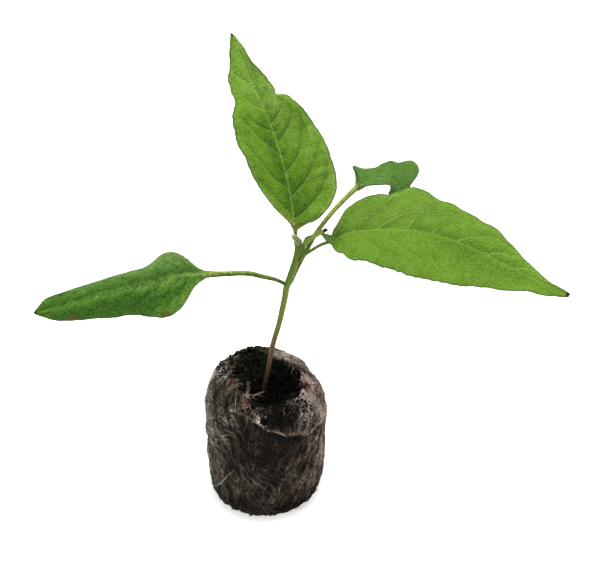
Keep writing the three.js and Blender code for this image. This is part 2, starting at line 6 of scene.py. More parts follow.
import bpy
import numpy as np
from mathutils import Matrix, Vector

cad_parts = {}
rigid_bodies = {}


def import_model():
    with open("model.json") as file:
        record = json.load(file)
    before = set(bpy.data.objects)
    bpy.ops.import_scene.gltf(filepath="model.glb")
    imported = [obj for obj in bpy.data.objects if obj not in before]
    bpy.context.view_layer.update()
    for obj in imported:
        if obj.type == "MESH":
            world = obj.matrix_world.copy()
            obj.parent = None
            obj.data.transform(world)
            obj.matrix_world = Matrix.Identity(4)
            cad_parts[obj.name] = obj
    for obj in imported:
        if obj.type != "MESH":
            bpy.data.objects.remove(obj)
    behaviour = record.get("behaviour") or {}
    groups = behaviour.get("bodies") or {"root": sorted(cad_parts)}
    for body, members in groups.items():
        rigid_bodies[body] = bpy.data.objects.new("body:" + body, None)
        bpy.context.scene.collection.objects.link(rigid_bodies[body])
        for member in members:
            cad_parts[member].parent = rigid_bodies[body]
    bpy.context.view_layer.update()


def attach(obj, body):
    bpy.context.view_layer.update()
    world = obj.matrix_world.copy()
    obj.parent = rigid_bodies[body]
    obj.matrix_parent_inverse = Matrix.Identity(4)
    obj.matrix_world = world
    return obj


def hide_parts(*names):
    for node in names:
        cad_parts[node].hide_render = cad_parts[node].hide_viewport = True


# Young chilli pepper plant, rooted in a peat plug with a fleece wrap.
# Shapes are worked out in millimetres, as in the CAD source, and turned to metres in the meshes.

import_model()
scene = bpy.context.scene
mm = 0.001
print("frame loaded")


# Small helpers

def linear(hexColour):
    # sRGB hex to the linear colour a shader takes
    parts = [int(hexColour[i:i + 2], 16) / 255 for i in (1, 3, 5)]
    return tuple(c / 12.92 if c <= 0.04045 else ((c + 0.055) / 1.055) ** 2.4 for c in parts) + (1.0,)


def setSockets(node, sockets):
    # a socket takes a number, a hex colour, another node's output, or the node itself for its first output
    for name, value in sockets.items():
        if isinstance(value, str):
            value = linear(value)
        if isinstance(value, bpy.types.Node):
            value = next(output for output in value.outputs if output.enabled)
        if isinstance(value, bpy.types.NodeSocket):
            node.id_data.links.new(value, node.inputs[name])
        else:
            node.inputs[name].default_value = value


def addNode(tree, kind, sockets=None, **settings):
    # a node with its settings and links
    node = tree.nodes.new("ShaderNode" + kind)
    for name, value in settings.items():
        if name == "ramp":
            stops = node.color_ramp.elements
            while len(stops) < len(value):
                stops.new(0.5)
            for stop, (place, colour) in zip(stops, value):
                stop.position = place
                stop.color = linear(colour) if isinstance(colour, str) else (colour, colour, colour, 1)
        else:
            setattr(node, name, value)
    setSockets(node, sockets or {})
    return node


def startMaterial(name):
    # a new material, its node tree and the shader that it comes with
    material = bpy.data.materials.new(name)
    material.use_nodes = True
    return material, material.node_tree, material.node_tree.nodes["Principled BSDF"]


def smooth(x):
    x = np.clip(x, 0, 1)
    return x * x * (3 - 2 * x)


def unit(v):
    return v / np.maximum(np.linalg.norm(v, axis=-1, keepdims=True), 1e-9)


def along(values, t):
    # smooth curve through evenly spaced numbers or points, its ends carried straight on
    values = np.asarray(values, float)
    flat = values.ndim == 1
    if flat:
        values = values[:, None]
    t = np.asarray(t, float)
    p = np.clip(t, 0, 1) * (len(values) - 1)
    i = np.minimum(np.floor(p).astype(int), len(values) - 2)
    w = (p - i)[..., None]
    carried = np.concatenate([2 * values[:1] - values[1:2], values, 2 * values[-1:] - values[-2:-1]])
    p0, p1, p2, p3 = (carried[i + k] for k in range(4))
    a = 0.5 * (p2 - p0)
    b = 0.5 * (p3 - p1)
    out = (2 * p1 - 2 * p2 + a + b) * w ** 3 + (-3 * p1 + 3 * p2 - 2 * a - b) * w ** 2 + a * w + p1
    return out[..., 0] if flat else out


def stepLengths(points, count):
    # parameters of a curve and the lengths between their points
    t = np.linspace(0, 1, count)
    return t, np.linalg.norm(np.diff(along(points, t), axis=0), axis=1)


def walkAlong(points, count):
    # parameters of a curve and the length walked to each
    t, steps = stepLengths(points, count)
    return t, np.concatenate([[0], np.cumsum(steps)])


def lumps(points, size, seed=0):
    # smooth noise from -1 to 1 with lumps of about "size" mm
    q = np.asarray(points, float) / size
    cell = np.floor(q).astype(np.int64)
    f = q - cell
    f = f * f * (3 - 2 * f)
    total = np.zeros(q.shape[:-1])
    for corner in itertools.product((0, 1), repeat=3):
        c = cell + corner
        h = c[..., 0] * 374761393 + c[..., 1] * 668265263 + c[..., 2] * 1440662683 + seed * 1274126177
        h = (h ^ (h >> 13)) & 0xffffffff
        h = (h * 1103515245 + 12345) & 0xffffffff
        h = ((h ^ (h >> 15)) * 2246822519) & 0xffffffff
        value = ((h ^ (h >> 16)) & 0xffff) / 32767.5 - 1
        total += value * np.prod(np.where(corner, f, 1 - f), axis=-1)
    return total


def layeredLumps(points, layers):
    # noise of several sizes, each layer (amount, size, seed)
    return sum(amount * lumps(points, size, seed) for amount, size, seed in layers)


def wobbled(points, amount, size, seed):
    # points pushed about by noise, each way by its own
    return points + amount * np.stack([lumps(points, size, seed + k) for k in range(3)], -1)


def framesAlong(points, ups, t):
    # place, tangent, upper-face normal and right-hand side along a curve
    t = np.asarray(t, float)
    step = 1e-3
    tangent = unit(along(points, np.minimum(t + step, 1)) - along(points, np.maximum(t - step, 0)))
    up = along(ups, t)
    normal = unit(up - (up * tangent).sum(-1, keepdims=True) * tangent)
    return along(points, t), tangent, normal, np.cross(tangent, normal)


def ringAngles(count):
    return 2 * np.pi * np.arange(count) / count


def ringsRound(at, radius, across, up, wide, high):
    # a ring of points round each place on a curve; "wide" and "high" give the ring's shape
    return at[..., None, :] + radius[..., None] * (
        wide[:, None] * across[..., None, :] + high[:, None] * up[..., None, :])


def ringFaces(rings, sides):
    # quads between rings of points, each ring closed on itself
    j, k = np.meshgrid(np.arange(rings - 1), np.arange(sides), indexing="ij")
    a = j * sides + k
    b = j * sides + (k + 1) % sides
    return np.stack([a, b, b + sides, a + sides], -1).reshape(-1, 4)


def closedBody(rings, ends=None):
    # points and faces of a closed body through rings of points, with a fan at each end
    count, sides = rings.shape[:2]
    if ends is None:
        ends = np.concatenate([rings[:1].mean(1), rings[-1:].mean(1)])
    a = np.arange(sides)
    b = (a + 1) % sides
    last = (count - 1) * sides
    centre = np.full(sides, count * sides)
    fans = [np.stack([centre, b, a], -1), np.stack([centre + 1, last + a, last + b], -1)]
    return np.concatenate([rings.reshape(-1, 3), ends]), [ringFaces(count, sides), *fans]


def meshFrom(name, points, faces, attributes=None, smoothShading=True):
    mesh = bpy.data.meshes.new(name)
    corners = [face for block in faces for face in np.asarray(block).tolist()]
    mesh.from_pydata((np.asarray(points).reshape(-1, 3) * mm).tolist(), [], corners)
    for key, values in (attributes or {}).items():
        values = np.asarray(values, float)
        wide = values.ndim > 1 and values.shape[-1] == 3
        attribute = mesh.attributes.new(key, "FLOAT_VECTOR" if wide else "FLOAT", "POINT")
        attribute.data.foreach_set("vector" if wide else "value", values.ravel())
    if smoothShading:
        mesh.shade_smooth()
    else:
        mesh.shade_flat()
    mesh.validate()
    piece = bpy.data.objects.new(name, mesh)
    scene.collection.objects.link(piece)
    return piece


# the record's slot and the CAD node of each of the three parts
plantPart = ("plant", "chilli_plant")
fleecePart = ("fleece", "fleece_wrap")
peatPart = ("peat", "peat_plug")


def addPiece(name, body, material, part, attributes=None, smoothShading=True):
    piece = meshFrom(name, *body, attributes, smoothShading)
    piece.data.materials.append(material)
    slot, node = part
    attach(piece, "root")
    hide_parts(node)


# Camera, light and floor: looking 31 degrees down at the plant from the front

view = {
    "cameraPlace": (0.010, -0.160, 0.175),
    "downDegrees": 31,
    "focalPixels": 640,
    "imageWidth": 590,
    "sensorWidth": 36,
}
cameraData = bpy.data.cameras.new("camera")
cameraData.sensor_width = view["sensorWidth"]
cameraData.lens = view["sensorWidth"] * view["focalPixels"] / view["imageWidth"]
cameraData.clip_start = 0.01
camera = bpy.data.objects.new("camera", cameraData)
camera.location = view["cameraPlace"]
camera.rotation_euler = (math.radians(90 - view["downDegrees"]), 0, 0)
scene.collection.objects.link(camera)
scene.camera = camera

studio = {
    "skyStrength": 0.62,
    "bounceStrength": 0.5,
    "lampDirection": (0.0, 0.14, 1.0),
    "lampStrength": 2.8,
    "lampSpread": 22,
    "floorHalf": 3.0,
    "floorColour": "#fbfbfa",
    "floorGlow": 0.55,
}
world = bpy.data.worlds.new("studio")
world.use_nodes = True
skyTree = world.node_tree
direction = addNode(skyTree, "TexCoord")
height = addNode(skyTree, "SeparateXYZ", {"Vector": direction.outputs["Generated"]})
sky = addNode(skyTree, "MapRange", {
    "Value": height.outputs["Z"], "From Min": -0.3, "From Max": 0.3,
    "To Min": studio["bounceStrength"], "To Max": studio["skyStrength"],
})
setSockets(skyTree.nodes["Background"], {"Color": "#ffffff", "Strength": sky})
scene.world = world
scene.view_settings.view_transform = "Standard"

# a broad soft light from above and a little behind, even over the whole floor
lampData = bpy.data.lights.new("softTopLight", "SUN")
lampData.energy = studio["lampStrength"]
lampData.angle = math.radians(studio["lampSpread"])
lamp = bpy.data.objects.new("softTopLight", lampData)
lamp.rotation_euler = Vector(studio["lampDirection"]).to_track_quat("Z", "Y").to_euler()
scene.collection.objects.link(lamp)

half = studio["floorHalf"] / mm
floorPoints = [[-half, -half, 0], [half, -half, 0], [half, half, 0], [-half, half, 0]]
floor = meshFrom("floor", floorPoints, [[[0, 1, 2, 3]]])
floorPaper, _, shader = startMaterial("matteStudioPaper")  # plain white paper, no gloss, glowing a little
setSockets(shader, {
    "Base Color": studio["floorColour"], "Roughness": 0.95, "Specular IOR Level": 0.1,
    "Emission Color": studio["floorColour"], "Emission Strength": studio["floorGlow"],
})
floor.data.materials.append(floorPaper)
floor.visible_diffuse = False  # the light from below comes from the sky's lower half
print("camera, light and floor ready")


# Leaves: curves, widths and angles as in the CAD source, and finer here

leafShared = {
    "acrossPoints": 61,
    "budAcrossPoints": 17,
    "rowSpacing": 0.25,
    "rowCrowding": 1.15,  # rows lie closer together near the stalk, columns near the margins
    "columnCrowding": 0.92,
    "stalkSpacing": 0.45,
    "stalkTop": 0.8,  # a stalk is flatter on its upper side
    "stalkStart": 1.3,  # over this length it swells out of the stem
    "halfThickness": 0.24,
    "veinSlant": 0.22,
    "widthSpacing": 0.75,
    "stalkBlend": 0.016,
    "ribEndRadius": 0.25,
    # the blade rises over these lengths from a side vein and from the midrib, and lies flat at the margin
    "veinRise": 1.7,
    "ribRise": 1.2,
    "flatMargin": 2.2,
    "marginLumps": [(1.0, 1.0, 71), (0.6, 0.45, 72)],
    # depth and half width of the grooves over the side veins and over the midrib
    "veinGroove": (0.12, 0.22),
    "ribGroove": (0.16, 0.35),
    "veinColour": "#a4c864",
    "ribColour": "#a2c660",
    "edgeColour": "#4e4e3c",
    "stainColour": "#6b3f1c",
    "underColour": "#83a35c",  # the under face is paler and greyer
    "tipColour": "#1a1712",
    "stalkColours": [(0.1, "#4f6e14"), (0.35, "#7f9a30"), (0.6, "#a3b456")],
}

# What a leaf has where it says nothing else. Pairs are for the left and the right half of the blade.
# Places on a blade are 0 at the stalk to 1 at the tip, and -1 at the left margin to 1 at the right.
plainLeaf = {
    "ears": [0, 0],  # how far the blade reaches back past the stalk
    "nicks": [],  # side, place, depth and spread
    "web": (0, 0, 1),  # width at the left and right of the stalk's end, and how far it runs down
    # tone patches are partly the leaf's own colour and partly painted light and shade
    "tonesLightAndShade": [],  # place, spread and amount of a paler patch, or a deeper one below zero
    "spots": [],  # dark specks: place and size
    "stains": [],  # brown ones
    "wander": 0.15,  # how crooked the side veins are
    "paleMargin": 0.0,
    # strength of the painted shade on the tip side of the veins, left and right
    "veinShadeTone": (0.3, 0.3),  # dark side of the veins
    "wrinkles": 0.1,
    "tip": 1,  # how dark the very tip is
    "tipLength": 0.75,
    "underPaleness": 0.4,
    # painted shade on the stalk's sides; above zero it lightens them instead
    "flankShadeTone": -0.3,  # of the stalk
}

# what the smallest leaves share
bud = {
    "wave": [0, 1, 0],
    "starts": [0.5],
    "quilt": (0.1, 0.1),
    "blister": 0.03,
    "margin": (0.05, 0.05),
    "ribLine": (0.2, 0.3, 0.1),
    "veinLine": (0.1, 0.1),
    "underPaleness": 0.0,
    "tip": 0,
}

# Stalk and midrib are curves of points, and "up" is the way that the upper face looks. Widths, lifts and
# curls in degrees run from the stalk to the tip; trims are added to the widths. A wave is its height,
# waves and start, a rib line its width and its strength near the stalk and at the tip. Colours run from
# deep to light.
leaves = {
    "leafTop": {
        "stalk": [
            (10.7, 1.9, 88.4), (10.3, 1.6, 91.0), (10.2, 1.3, 93.4), (10.0, 1.0, 95.7), (9.8, 1.0, 96.9),
        ],
        "stalkUp": [(-0.3, -0.9, 0.3), (-0.1, -0.85, 0.5)],
        "stalkRadius": [0.8, 0.6, 0.55, 0.6, 0.7],
        "midrib": [
            (9.8, 1, 96.9), (8.6, 6, 104.5), (6.8, 11, 110.5), (4.3, 17, 117), (1.1, 22, 123.5),
            (-3.5, 28.5, 131.5), (-7.9, 34.3, 141.7),
        ],
        "up": [(-0.1, -0.85, 0.5), (-0.05, -0.8, 0.58), (-0.05, -0.8, 0.58)],
        "widthLeft": [0.8, 2.0, 5.1, 8.2, 9.9, 11.2, 12.3, 12.7, 12.0, 9.4, 6.8, 4.0, 0.5],
        "widthRight": [2.0, 9.2, 12.9, 14.4, 14.6, 13.9, 12.8, 11.7, 10.2, 6.8, 4.4, 1.9, 0.5],
        "liftLeft": [25, 34, 30, 12],
        "liftRight": [14, 12, 10, 8],
        "curlLeft": [10, 10, 10],
        "curlRight": [30, 10, 6],
        "ears": [0, 2.6],
        "wave": [0.6, 3.5, 0.6],
        "nicks": [
            (1, 0.704, 1.6, 0.018), (-1, 0.84, -0.7, 0.035), (-1, 0.73, 0.4, 0.03), (-1, 0.66, -0.4, 0.03),
        ],
        "veins": [
            (1, [(0.03, 0), (0.055, 0.25), (0.089, 0.43), (0.144, 0.66), (0.192, 0.8),
                 (0.24, 0.86), (0.30, 0.9)]),
            (1, [(0.141, 0), (0.198, 0.3), (0.264, 0.58), (0.334, 0.78), (0.37, 0.86), (0.43, 0.91)]),
            (1, [(0.289, 0), (0.326, 0.22), (0.401, 0.5), (0.467, 0.68), (0.514, 0.78), (0.57, 0.84)]),
            (1, [(0.455, 0), (0.485, 0.21), (0.517, 0.38), (0.56, 0.6), (0.62, 0.75)]),
            (1, [(0.575, 0), (0.60, 0.28), (0.637, 0.56), (0.68, 0.7)]),
            (1, [(0.69, 0), (0.71, 0.3), (0.74, 0.55)]),
            (1, [(0.79, 0), (0.81, 0.35), (0.84, 0.6)]),
            (-1, [(0.03, 0), (0.06, 0.3), (0.11, 0.55), (0.18, 0.75), (0.25, 0.85)]),
            (-1, [(0.17, 0), (0.197, 0.09), (0.262, 0.39), (0.349, 0.61), (0.391, 0.71), (0.45, 0.8)]),
            (-1, [(0.39, 0), (0.412, 0.11), (0.481, 0.35), (0.561, 0.56), (0.62, 0.7)]),
            (-1, [(0.53, 0), (0.57, 0.3), (0.63, 0.55)]),
            (-1, [(0.66, 0), (0.69, 0.3), (0.735, 0.6)]),
            (-1, [(0.79, 0), (0.82, 0.4), (0.85, 0.6)]),
        ],
        "web": (0.3, 3.4, 3.4),
        "quilt": (0.7, 0.9),
        "marginFolds": (1, 0.22, 0.24, 0.2),
        "stains": [(0.02, 0.0, 0.35)],
        "paleMargin": 0.9,
        "blister": 0.12,
        "margin": (0.18, 0.12),
        "ribLine": (0.15, 0.65, 1.0),
        "veinLine": (0.6, 0.9),
        "wrinkles": 0.12,
        "veinShadeTone": (0.45, 0.55),
        "tonesLightAndShade": [(0.12, 0.2, 0.14, 0.25, -0.5), (0.25, -0.15, 0.3, 0.2, -0.7), (0.5, -0.2, 0.2, 0.15, -0.5),
                  (0.25, 0.75, 0.25, 0.25, 0.3), (0.7, 0.3, 0.3, 0.5, 0.25), (0.85, 0.0, 0.2, 0.9, 0.42)],
        "trimLeft": [
            0.0, 0.29, 0.5, 0.36, 0.05, -0.17, -0.15, -0.03, 0.2, 0.2, 0.15, -0.2, 0.0,
            0.46, 0.38, 0.32, 0.28, 0.54, -0.1, -0.08, 0.52, 0.32, -0.2, -0.14, 0.0,
        ],
        "trimRight": [
            0.0, 0.4, -1.2, -1.7, -0.6, -0.1, 0.2, -0.16, -0.38, -0.36, -0.16, 0.24, 0.4,
            0.28, -0.08, -0.24, -0.02, 0.5, 1.04, -0.04, 0.1, 0.14, 0.1, 0.42, 0.0,
        ],
        "colours": ["#306800", "#6c9e0c", "#a2ca5c"],
        "flankShadeTone": 0.0,
    },
    "leafRight": {
        "stalk": [
            (10.6, 1.9, 84.4), (12.4, 1.4, 86.9), (13.5, 1.2, 88.0), (15.2, 1.1, 89.3),
            (16.9, 1.0, 90.5), (18.6, 1.0, 91.3), (19.9, 1.0, 91.8),
        ],
        "stalkUp": [(-0.5, -0.4, 0.8), (-0.1, -0.5, 0.86)],
        "stalkRadius": [0.75, 0.55, 0.5, 0.5, 0.6],
        "midrib": [
            (19.9, 1, 91.8), (24.5, 0, 94.8), (31, -1, 96.3), (39, -2.5, 97.2), (48, -5.5, 97),
            (57, -9, 95), (68, -13.5, 91), (81.3, -19, 86.2),
        ],
        "up": [(-0.1, -0.5, 0.86), (0, -0.57, 0.82), (0, -0.6, 0.8)],
        "widthLeft": [0.8, 1.4, 3.6, 6.4, 8.9, 10.8, 11.9, 12.4, 10.9, 9.0, 7.0, 2.9, 0.5],
        "widthRight": [1.2, 3.6, 6.9, 9.9, 10.6, 11.7, 12.8, 13.8, 13.6, 12.7, 9.7, 4.9, 0.5],
        "liftLeft": [25, 10, 8, 5],
        "liftRight": [25, 10, 8, 5],
        "curlLeft": [0, -6, -6],
        "curlRight": [0, -10, -10],
        "ears": [0, 0.5],
        "wave": [0.5, 4.5, 0],
        "nicks": [
            (-1, 0.37, 0.7, 0.035), (-1, 0.45, -0.8, 0.04), (-1, 0.545, 0.9, 0.035),
            (-1, 0.755, -0.9, 0.035), (1, 0.86, -0.7, 0.025), (1, 0.955, -0.8, 0.03),
        ],
        "veins": [
            (-1, [(0.015, 0), (0.03, 0.25), (0.06, 0.46), (0.138, 0.66), (0.224, 0.82), (0.281, 0.93)]),
            (-1, [(0.183, 0), (0.28, 0.38), (0.361, 0.65), (0.413, 0.83), (0.464, 0.9), (0.53, 0.93)]),
            (-1, [(0.316, 0), (0.392, 0.26), (0.456, 0.38), (0.523, 0.5), (0.593, 0.68),
                  (0.651, 0.85), (0.7, 0.92)]),
            (-1, [(0.455, 0.0), (0.487, 0.34), (0.508, 0.55), (0.539, 0.82)]),
            (-1, [(0.553, 0), (0.571, 0.19), (0.60, 0.45)]),
            (-1, [(0.658, 0), (0.70, 0.31), (0.748, 0.6), (0.783, 0.74), (0.83, 0.82)]),
            (-1, [(0.77, 0), (0.80, 0.35), (0.84, 0.6)]),
            (-1, [(0.86, 0), (0.885, 0.5)]),
            (1, [(0.05, 0), (0.09, 0.3), (0.13, 0.6), (0.2, 0.8)]),
            (1, [(0.2, 0), (0.221, 0.1), (0.297, 0.46), (0.385, 0.65), (0.468, 0.7), (0.52, 0.76)]),
            (1, [(0.34, 0), (0.40, 0.3), (0.48, 0.5), (0.56, 0.65)]),
            (1, [(0.5, 0), (0.55, 0.35), (0.6, 0.6), (0.66, 0.8)]),
            (1, [(0.674, 0), (0.719, 0.34), (0.76, 0.55), (0.795, 0.7)]),
            (1, [(0.79, 0), (0.83, 0.4), (0.87, 0.65)]),
        ],
        "quilt": (0.5, 0.14),
        "blister": 0.08,
        "margin": (0.12, 0.25),
        "ribLine": (0.2, 0.7, 0.2),
        "veinLine": (1.0, 0.3),
        "veinShadeTone": (0.7, 0.22),
        "tonesLightAndShade": [(0.3, -0.5, 0.4, 0.5, 0.25), (0.8, 0.2, 0.2, 0.4, -0.4), (0.65, 0.1, 0.15, 0.3, -0.3)],
        "trimLeft": [
            0.0, 0.28, 0.56, 0.14, -0.64, -0.46, 0.72, 0.8, 0.76, 0.22, -0.28, -0.22, 0.14,
            0.5, 0.14, -0.14, -0.06, 0.1, 0.38, -0.4, -0.1, 0.8, 0.6, -0.5, 0.0,
        ],
        "trimRight": [
            0.0, 0.26, 0.52, 0.44, -0.1, -0.58, 0.24, 0.2, -0.04, -0.16, -0.42, 0.08, -0.1,
            0.26, 0.24, 0.28, 0.32, 0.46, 0.6, 0.52, -0.32, -0.12, 0.28, -0.18, 0.0,
        ],
        "colours": ["#3f7406", "#72a122", "#98bb50"],
        "flankShadeTone": 0.05,
    },
    "leafLeft": {
        "stalk": [
            (7.8, 1.3, 77.2), (5.7, 0.6, 78.9), (3.8, 0.0, 80.1), (0.7, -1.1, 81.6), (-2.4, -2.0, 83.0),
            (-5.5, -2.9, 83.8), (-8.6, -3.4, 83.9), (-11.7, -3.8, 84.0), (-14.8, -4.0, 84.0),
        ],
        "stalkUp": [(0.4, 0.1, 0.9), (0, -0.1, 1)],
        "stalkRadius": [0.65, 0.6, 0.66, 0.74, 0.8, 0.82, 0.82, 0.86, 0.96],
        "midrib": [
            (-14.8, -4, 84.0), (-20.7, -6, 84.9), (-28, -7.3, 84.3), (-35.5, -9, 83.5),
            (-43.5, -11, 82.1), (-52, -13.5, 80.4), (-60.5, -16, 78.9),
        ],
        "up": [(0, -0.1, 1), (0, -0.1, 1), (0, -0.15, 1)],
        "widthLeft": [0.9, 1.6, 3.4, 7.0, 11.8, 12.8, 12.0, 10.4, 9.1, 7.7, 6.4, 4.4, 0.5],
        "widthRight": [0.9, 2.0, 5.6, 12.6, 16.2, 16.6, 11.3, 9.9, 8.6, 7.0, 5.2, 3.4, 0.6],
        "liftLeft": [0, -5, -8, -8],
        "liftRight": [0, -2, 2, 28],
        "curlLeft": [-20, -25, -25],
        "curlRight": [-15, -16, 0],
        "wave": [0.35, 3.5, 1.2],
        "web": (0.5, 0.7, 4.0),
        "quilt": (0.16, 0.16),
        "stains": [(0.82, -1, 1.3), (0.3, -1, 1.6)],
        "starts": [0.06, 0.16, 0.29, 0.43, 0.57, 0.71, 0.85],
        "wander": 0.8,
        "veinShadeTone": (0.6, 0.5),
        "wrinkles": 0.5,
        "blister": 0.26,
        "margin": (0.1, 0.1),
        "ribLine": (0.55, 0.9, -1.7),
        "veinLine": (0.0, 0.0),
        "tonesLightAndShade": [(0.15, -0.9, 0.2, 0.3, 1.1), (0.4, 0.1, 0.5, 0.09, -0.6), (0.15, -0.15, 0.25, 0.2, 0.7),
                  (0.45, -0.24, 0.35, 0.13, 0.6), (0.85, -0.2, 0.3, 0.2, 0.5), (0.5, -0.6, 0.3, 0.25, -0.6),
                  (0.3, 0.7, 0.5, 0.4, 0.9), (0.9, -0.75, 0.15, 0.25, -0.3)],
        "trimLeft": [
            0.0, 0.36, 0.72, 0.54, 0.36, 0.12, 0.58, 0.6, 0.2, 0.44, 0.7, 0.64, 0.32,
            -0.06, -0.52, -0.32, 0.26, 0.76, 0.46, -0.04, -0.16, 0.0, 0.38, 0.32, 0.0,
        ],
        "trimRight": [
            0.0, 0.86, 1.7, 2.73, 4.6, 4.55, 1.73, 0.23, -0.17, 0.43, 0.65, 0.16, 0.16,
            -0.5, -1.1, -1.55, -0.97, -0.41, -0.05, -0.32, -0.52, -0.38, 0.45, 1.15, 0.0,
        ],
        "colours": ["#1a4600", "#3a6e04", "#6a9632"],
    },
    "leafBack": {
        "stalk": [
            (8.0, 1.5, 76.8), (9.0, 1.9, 78.4), (10.4, 2.5, 81.8), (12.0, 3.4, 85.0), (13.5, 4.6, 87.5),
            (15.6, 6.8, 90.6), (17.9, 9.6, 92.8), (21.1, 13.5, 95.2), (25.3, 19.0, 97.3), (28.8, 24, 98.4),
        ],
        "stalkUp": [(-0.6, 0.2, 0.7), (-0.4, -0.1, 0.9), (-0.2, 0.1, 1)],
        "stalkRadius": [0.55, 0.62, 0.7, 0.74, 0.74, 0.76, 0.82, 0.95],
        "midrib": [
            (28.8, 24, 98.4), (32.1, 26.3, 99.2), (35.7, 28.5, 99.6), (39.3, 29.6, 99.3),
            (42, 29.5, 97.5), (43.4, 28.6, 94.6), (44, 27.3, 91), (44.2, 26, 86.8), (44.2, 25, 82.1),
        ],
        "up": [(-0.2, 0.1, 1), (-0.1, 0, 1), (0.3, -0.4, 0.8), (0.5, -0.8, 0.3), (0.5, -0.85, 0.1)],
        "widthLeft": [0.8, 5.0, 6.6, 6.6, 5.0, 4.8, 6.3, 10.8, 6.8, 3.6, 2.5, 1.5, 0.5],
        "widthRight": [1.0, 2.2, 3.6, 5.4, 6.4, 6.4, 5.4, 4.6, 3.8, 3.6, 3.1, 1.8, 0.5],
        "liftLeft": [48, 16, 8, 5],
        "liftRight": [8, 5, 5, 5],
        "curlLeft": [0, 0, -10],
        "curlRight": [0, -10, -10],
        "ears": [-3.0, 0],
        "wave": [0.3, 3.0, 0.5],
        "nicks": [(-1, 0.07, -0.6, 0.014)],
        "trimLeft": [
            0, 0, 0, 0, 0, 0.54, 0.56, 0.38, 0.8, 0.9, 0.8, 1.3, 1.4,
            -0.8, 0.5, 1.2, -1.5, -2.1, -2.1, -1.6, -0.9, -0.4, 0, 0, 0,
        ],
        "trimRight": [
            0, 0, 0, 0, 0, 0, 0, 0, 0, 0, 0, 0.2, 0.4,
            0.5, 0.6, 0.7, 0.7, 0.5, 0.3, 0, 0, 0, 0, 0, 0,
        ],
        "spots": [(0.05, -1, 0.5), (0.395, -1, 0.6)],
        "starts": [0.05, 0.17, 0.31, 0.46, 0.61, 0.76, 0.9],
        "quilt": (0.3, 0.3),
        "blister": 0.14,
        "margin": (0.1, 0.1),
        "ribLine": (0.3, 0.4, 0.1),
        "veinLine": (0.2, 0.2),
        "tonesLightAndShade": [(0.3, 0, 0.3, 0.6, 0.3)],
        "colours": ["#2f6410", "#528526", "#7ea64c"],
        "flankShadeTone": -0.1,
        "veinShadeTone": (0.4, 0.4),
    },
    "leafLobe": {  # small folded lobe at the base of the right-hand leaf, over its stalk
        **bud,
        "stalk": [(22.4, -0.1, 92.3), (21.8, -0.3, 92.3), (21.2, -0.5, 92.4)],
        "stalkUp": [(-0.3, -0.6, 0.7), (-0.3, -0.6, 0.7)],
        "stalkRadius": [0.4, 0.4, 0.4],
        "midrib": [(21.2, -0.5, 92.4), (19.4, -1.1, 93.9), (18.3, -1.4, 94.8), (17.3, -1.7, 95.7)],
        "up": [(-0.3, -0.6, 0.7), (-0.3, -0.6, 0.7)],
        "widthLeft": [1.4, 1.3, 0.9, 0.3],
        "widthRight": [1.4, 1.2, 0.8, 0.3],
        "liftLeft": [10, 10],
        "liftRight": [10, 10],
        "curlLeft": [0, 0],
        "curlRight": [0, 0],
        "colours": ["#62963a", "#7eaa4e", "#9abe6c"],
    },
    "leafNewest": {  # the newest leaf, still narrow and folded
        **bud,
        "stalk": [(10.5, 1.9, 84.4), (11.4, 1.5, 87.2), (12.0, 0.8, 89.6), (12.5, 0.2, 91.4)],
        "stalkUp": [(-0.6, -0.3, 0.7), (-0.6, -0.3, 0.7)],
        "stalkRadius": [0.7, 0.8, 0.75, 0.65],
        "midrib": [
            (12.5, 0.2, 91.4), (13.9, -0.8, 93.4), (15.4, -1.6, 94.8), (17.0, -2.3, 96.2), (18.7, -3, 97.6),
        ],
        "up": [(-0.6, -0.3, 0.7), (-0.6, -0.3, 0.7)],
        "widthLeft": [0.7, 0.9, 0.8, 0.6, 0.45],
        "widthRight": [0.8, 1.2, 1.1, 0.8, 0.45],
        "liftLeft": [35, 50, 30],
        "liftRight": [35, 50, 30],
        "curlLeft": [10, 10],
        "curlRight": [10, 10],
        "wave": [0.1, 2, 0],
        "starts": [0.3, 0.6],
        "margin": (0.12, 0.12),
        "colours": ["#6c9420", "#a2c040", "#d4e08a"],
        "tip": 1,
        "tipLength": 1.3,
    },
    "leafOpposite": {  # the smaller one that opens opposite it
        **bud,
        "stalk": [(11.6, 1.2, 89.6), (11.6, 0.6, 90.5), (11.3, 0.1, 91.4)],
        "stalkUp": [(0.5, -0.5, 0.7), (0.5, -0.5, 0.7)],
        "stalkRadius": [0.7, 0.65, 0.6],
        "midrib": [(11.3, 0.1, 91.4), (11.0, -0.3, 92.3), (10.3, -1.0, 93.6), (9.3, -1.7, 94.9)],
        "up": [(0.3, -0.7, 0.5), (0.1, -0.9, 0.4)],
        "widthLeft": [0.7, 1.0, 1.0, 0.7],
        "widthRight": [0.7, 1.0, 1.0, 0.7],
        "liftLeft": [20, 30],
        "liftRight": [20, 30],
        "curlLeft": [10, 10],
        "curlRight": [10, 10],
        "colours": ["#9cb86c", "#c0d492", "#e0ecc4"],
    },
}


def bySide(leaf, key, side, place):
    # a curve of the leaf's left side where side is below zero, of its right side elsewhere
    return np.where(side < 0, along(leaf[key + "Left"], place), along(leaf[key + "Right"], place))


def halfWidth(leaf, u, side):
    place = u ** leafShared["widthSpacing"]
    w = bySide(leaf, "width", side, place)
    for onSide, middle, depth, reach in leaf["nicks"]:
        w = w - np.where(side == onSide, depth * np.exp(-((u - middle) / reach) ** 2), 0)
    if "trimLeft" in leaf:
        w = w + bySide(leaf, "trim", side, place)
    # fine unevenness of the margin, and a tip that closes to a point
    line = np.stack([u * 30, side * 5.0, u * 0], -1)
    rough = np.where(side < 0, *leaf["margin"]) * layeredLumps(line, leafShared["marginLumps"])
    w = w + rough * smooth(u / 0.1) * smooth((1 - u) / 0.04)
    return w * np.sqrt(smooth((1.004 - u) / 0.02))


def bladePlace(s, v):
    bend = (1 - s) * (1 - np.exp(-s / 0.06))
    return np.clip(s + leafShared["veinSlant"] * bend * np.abs(v) ** 1.3, 0, 1)


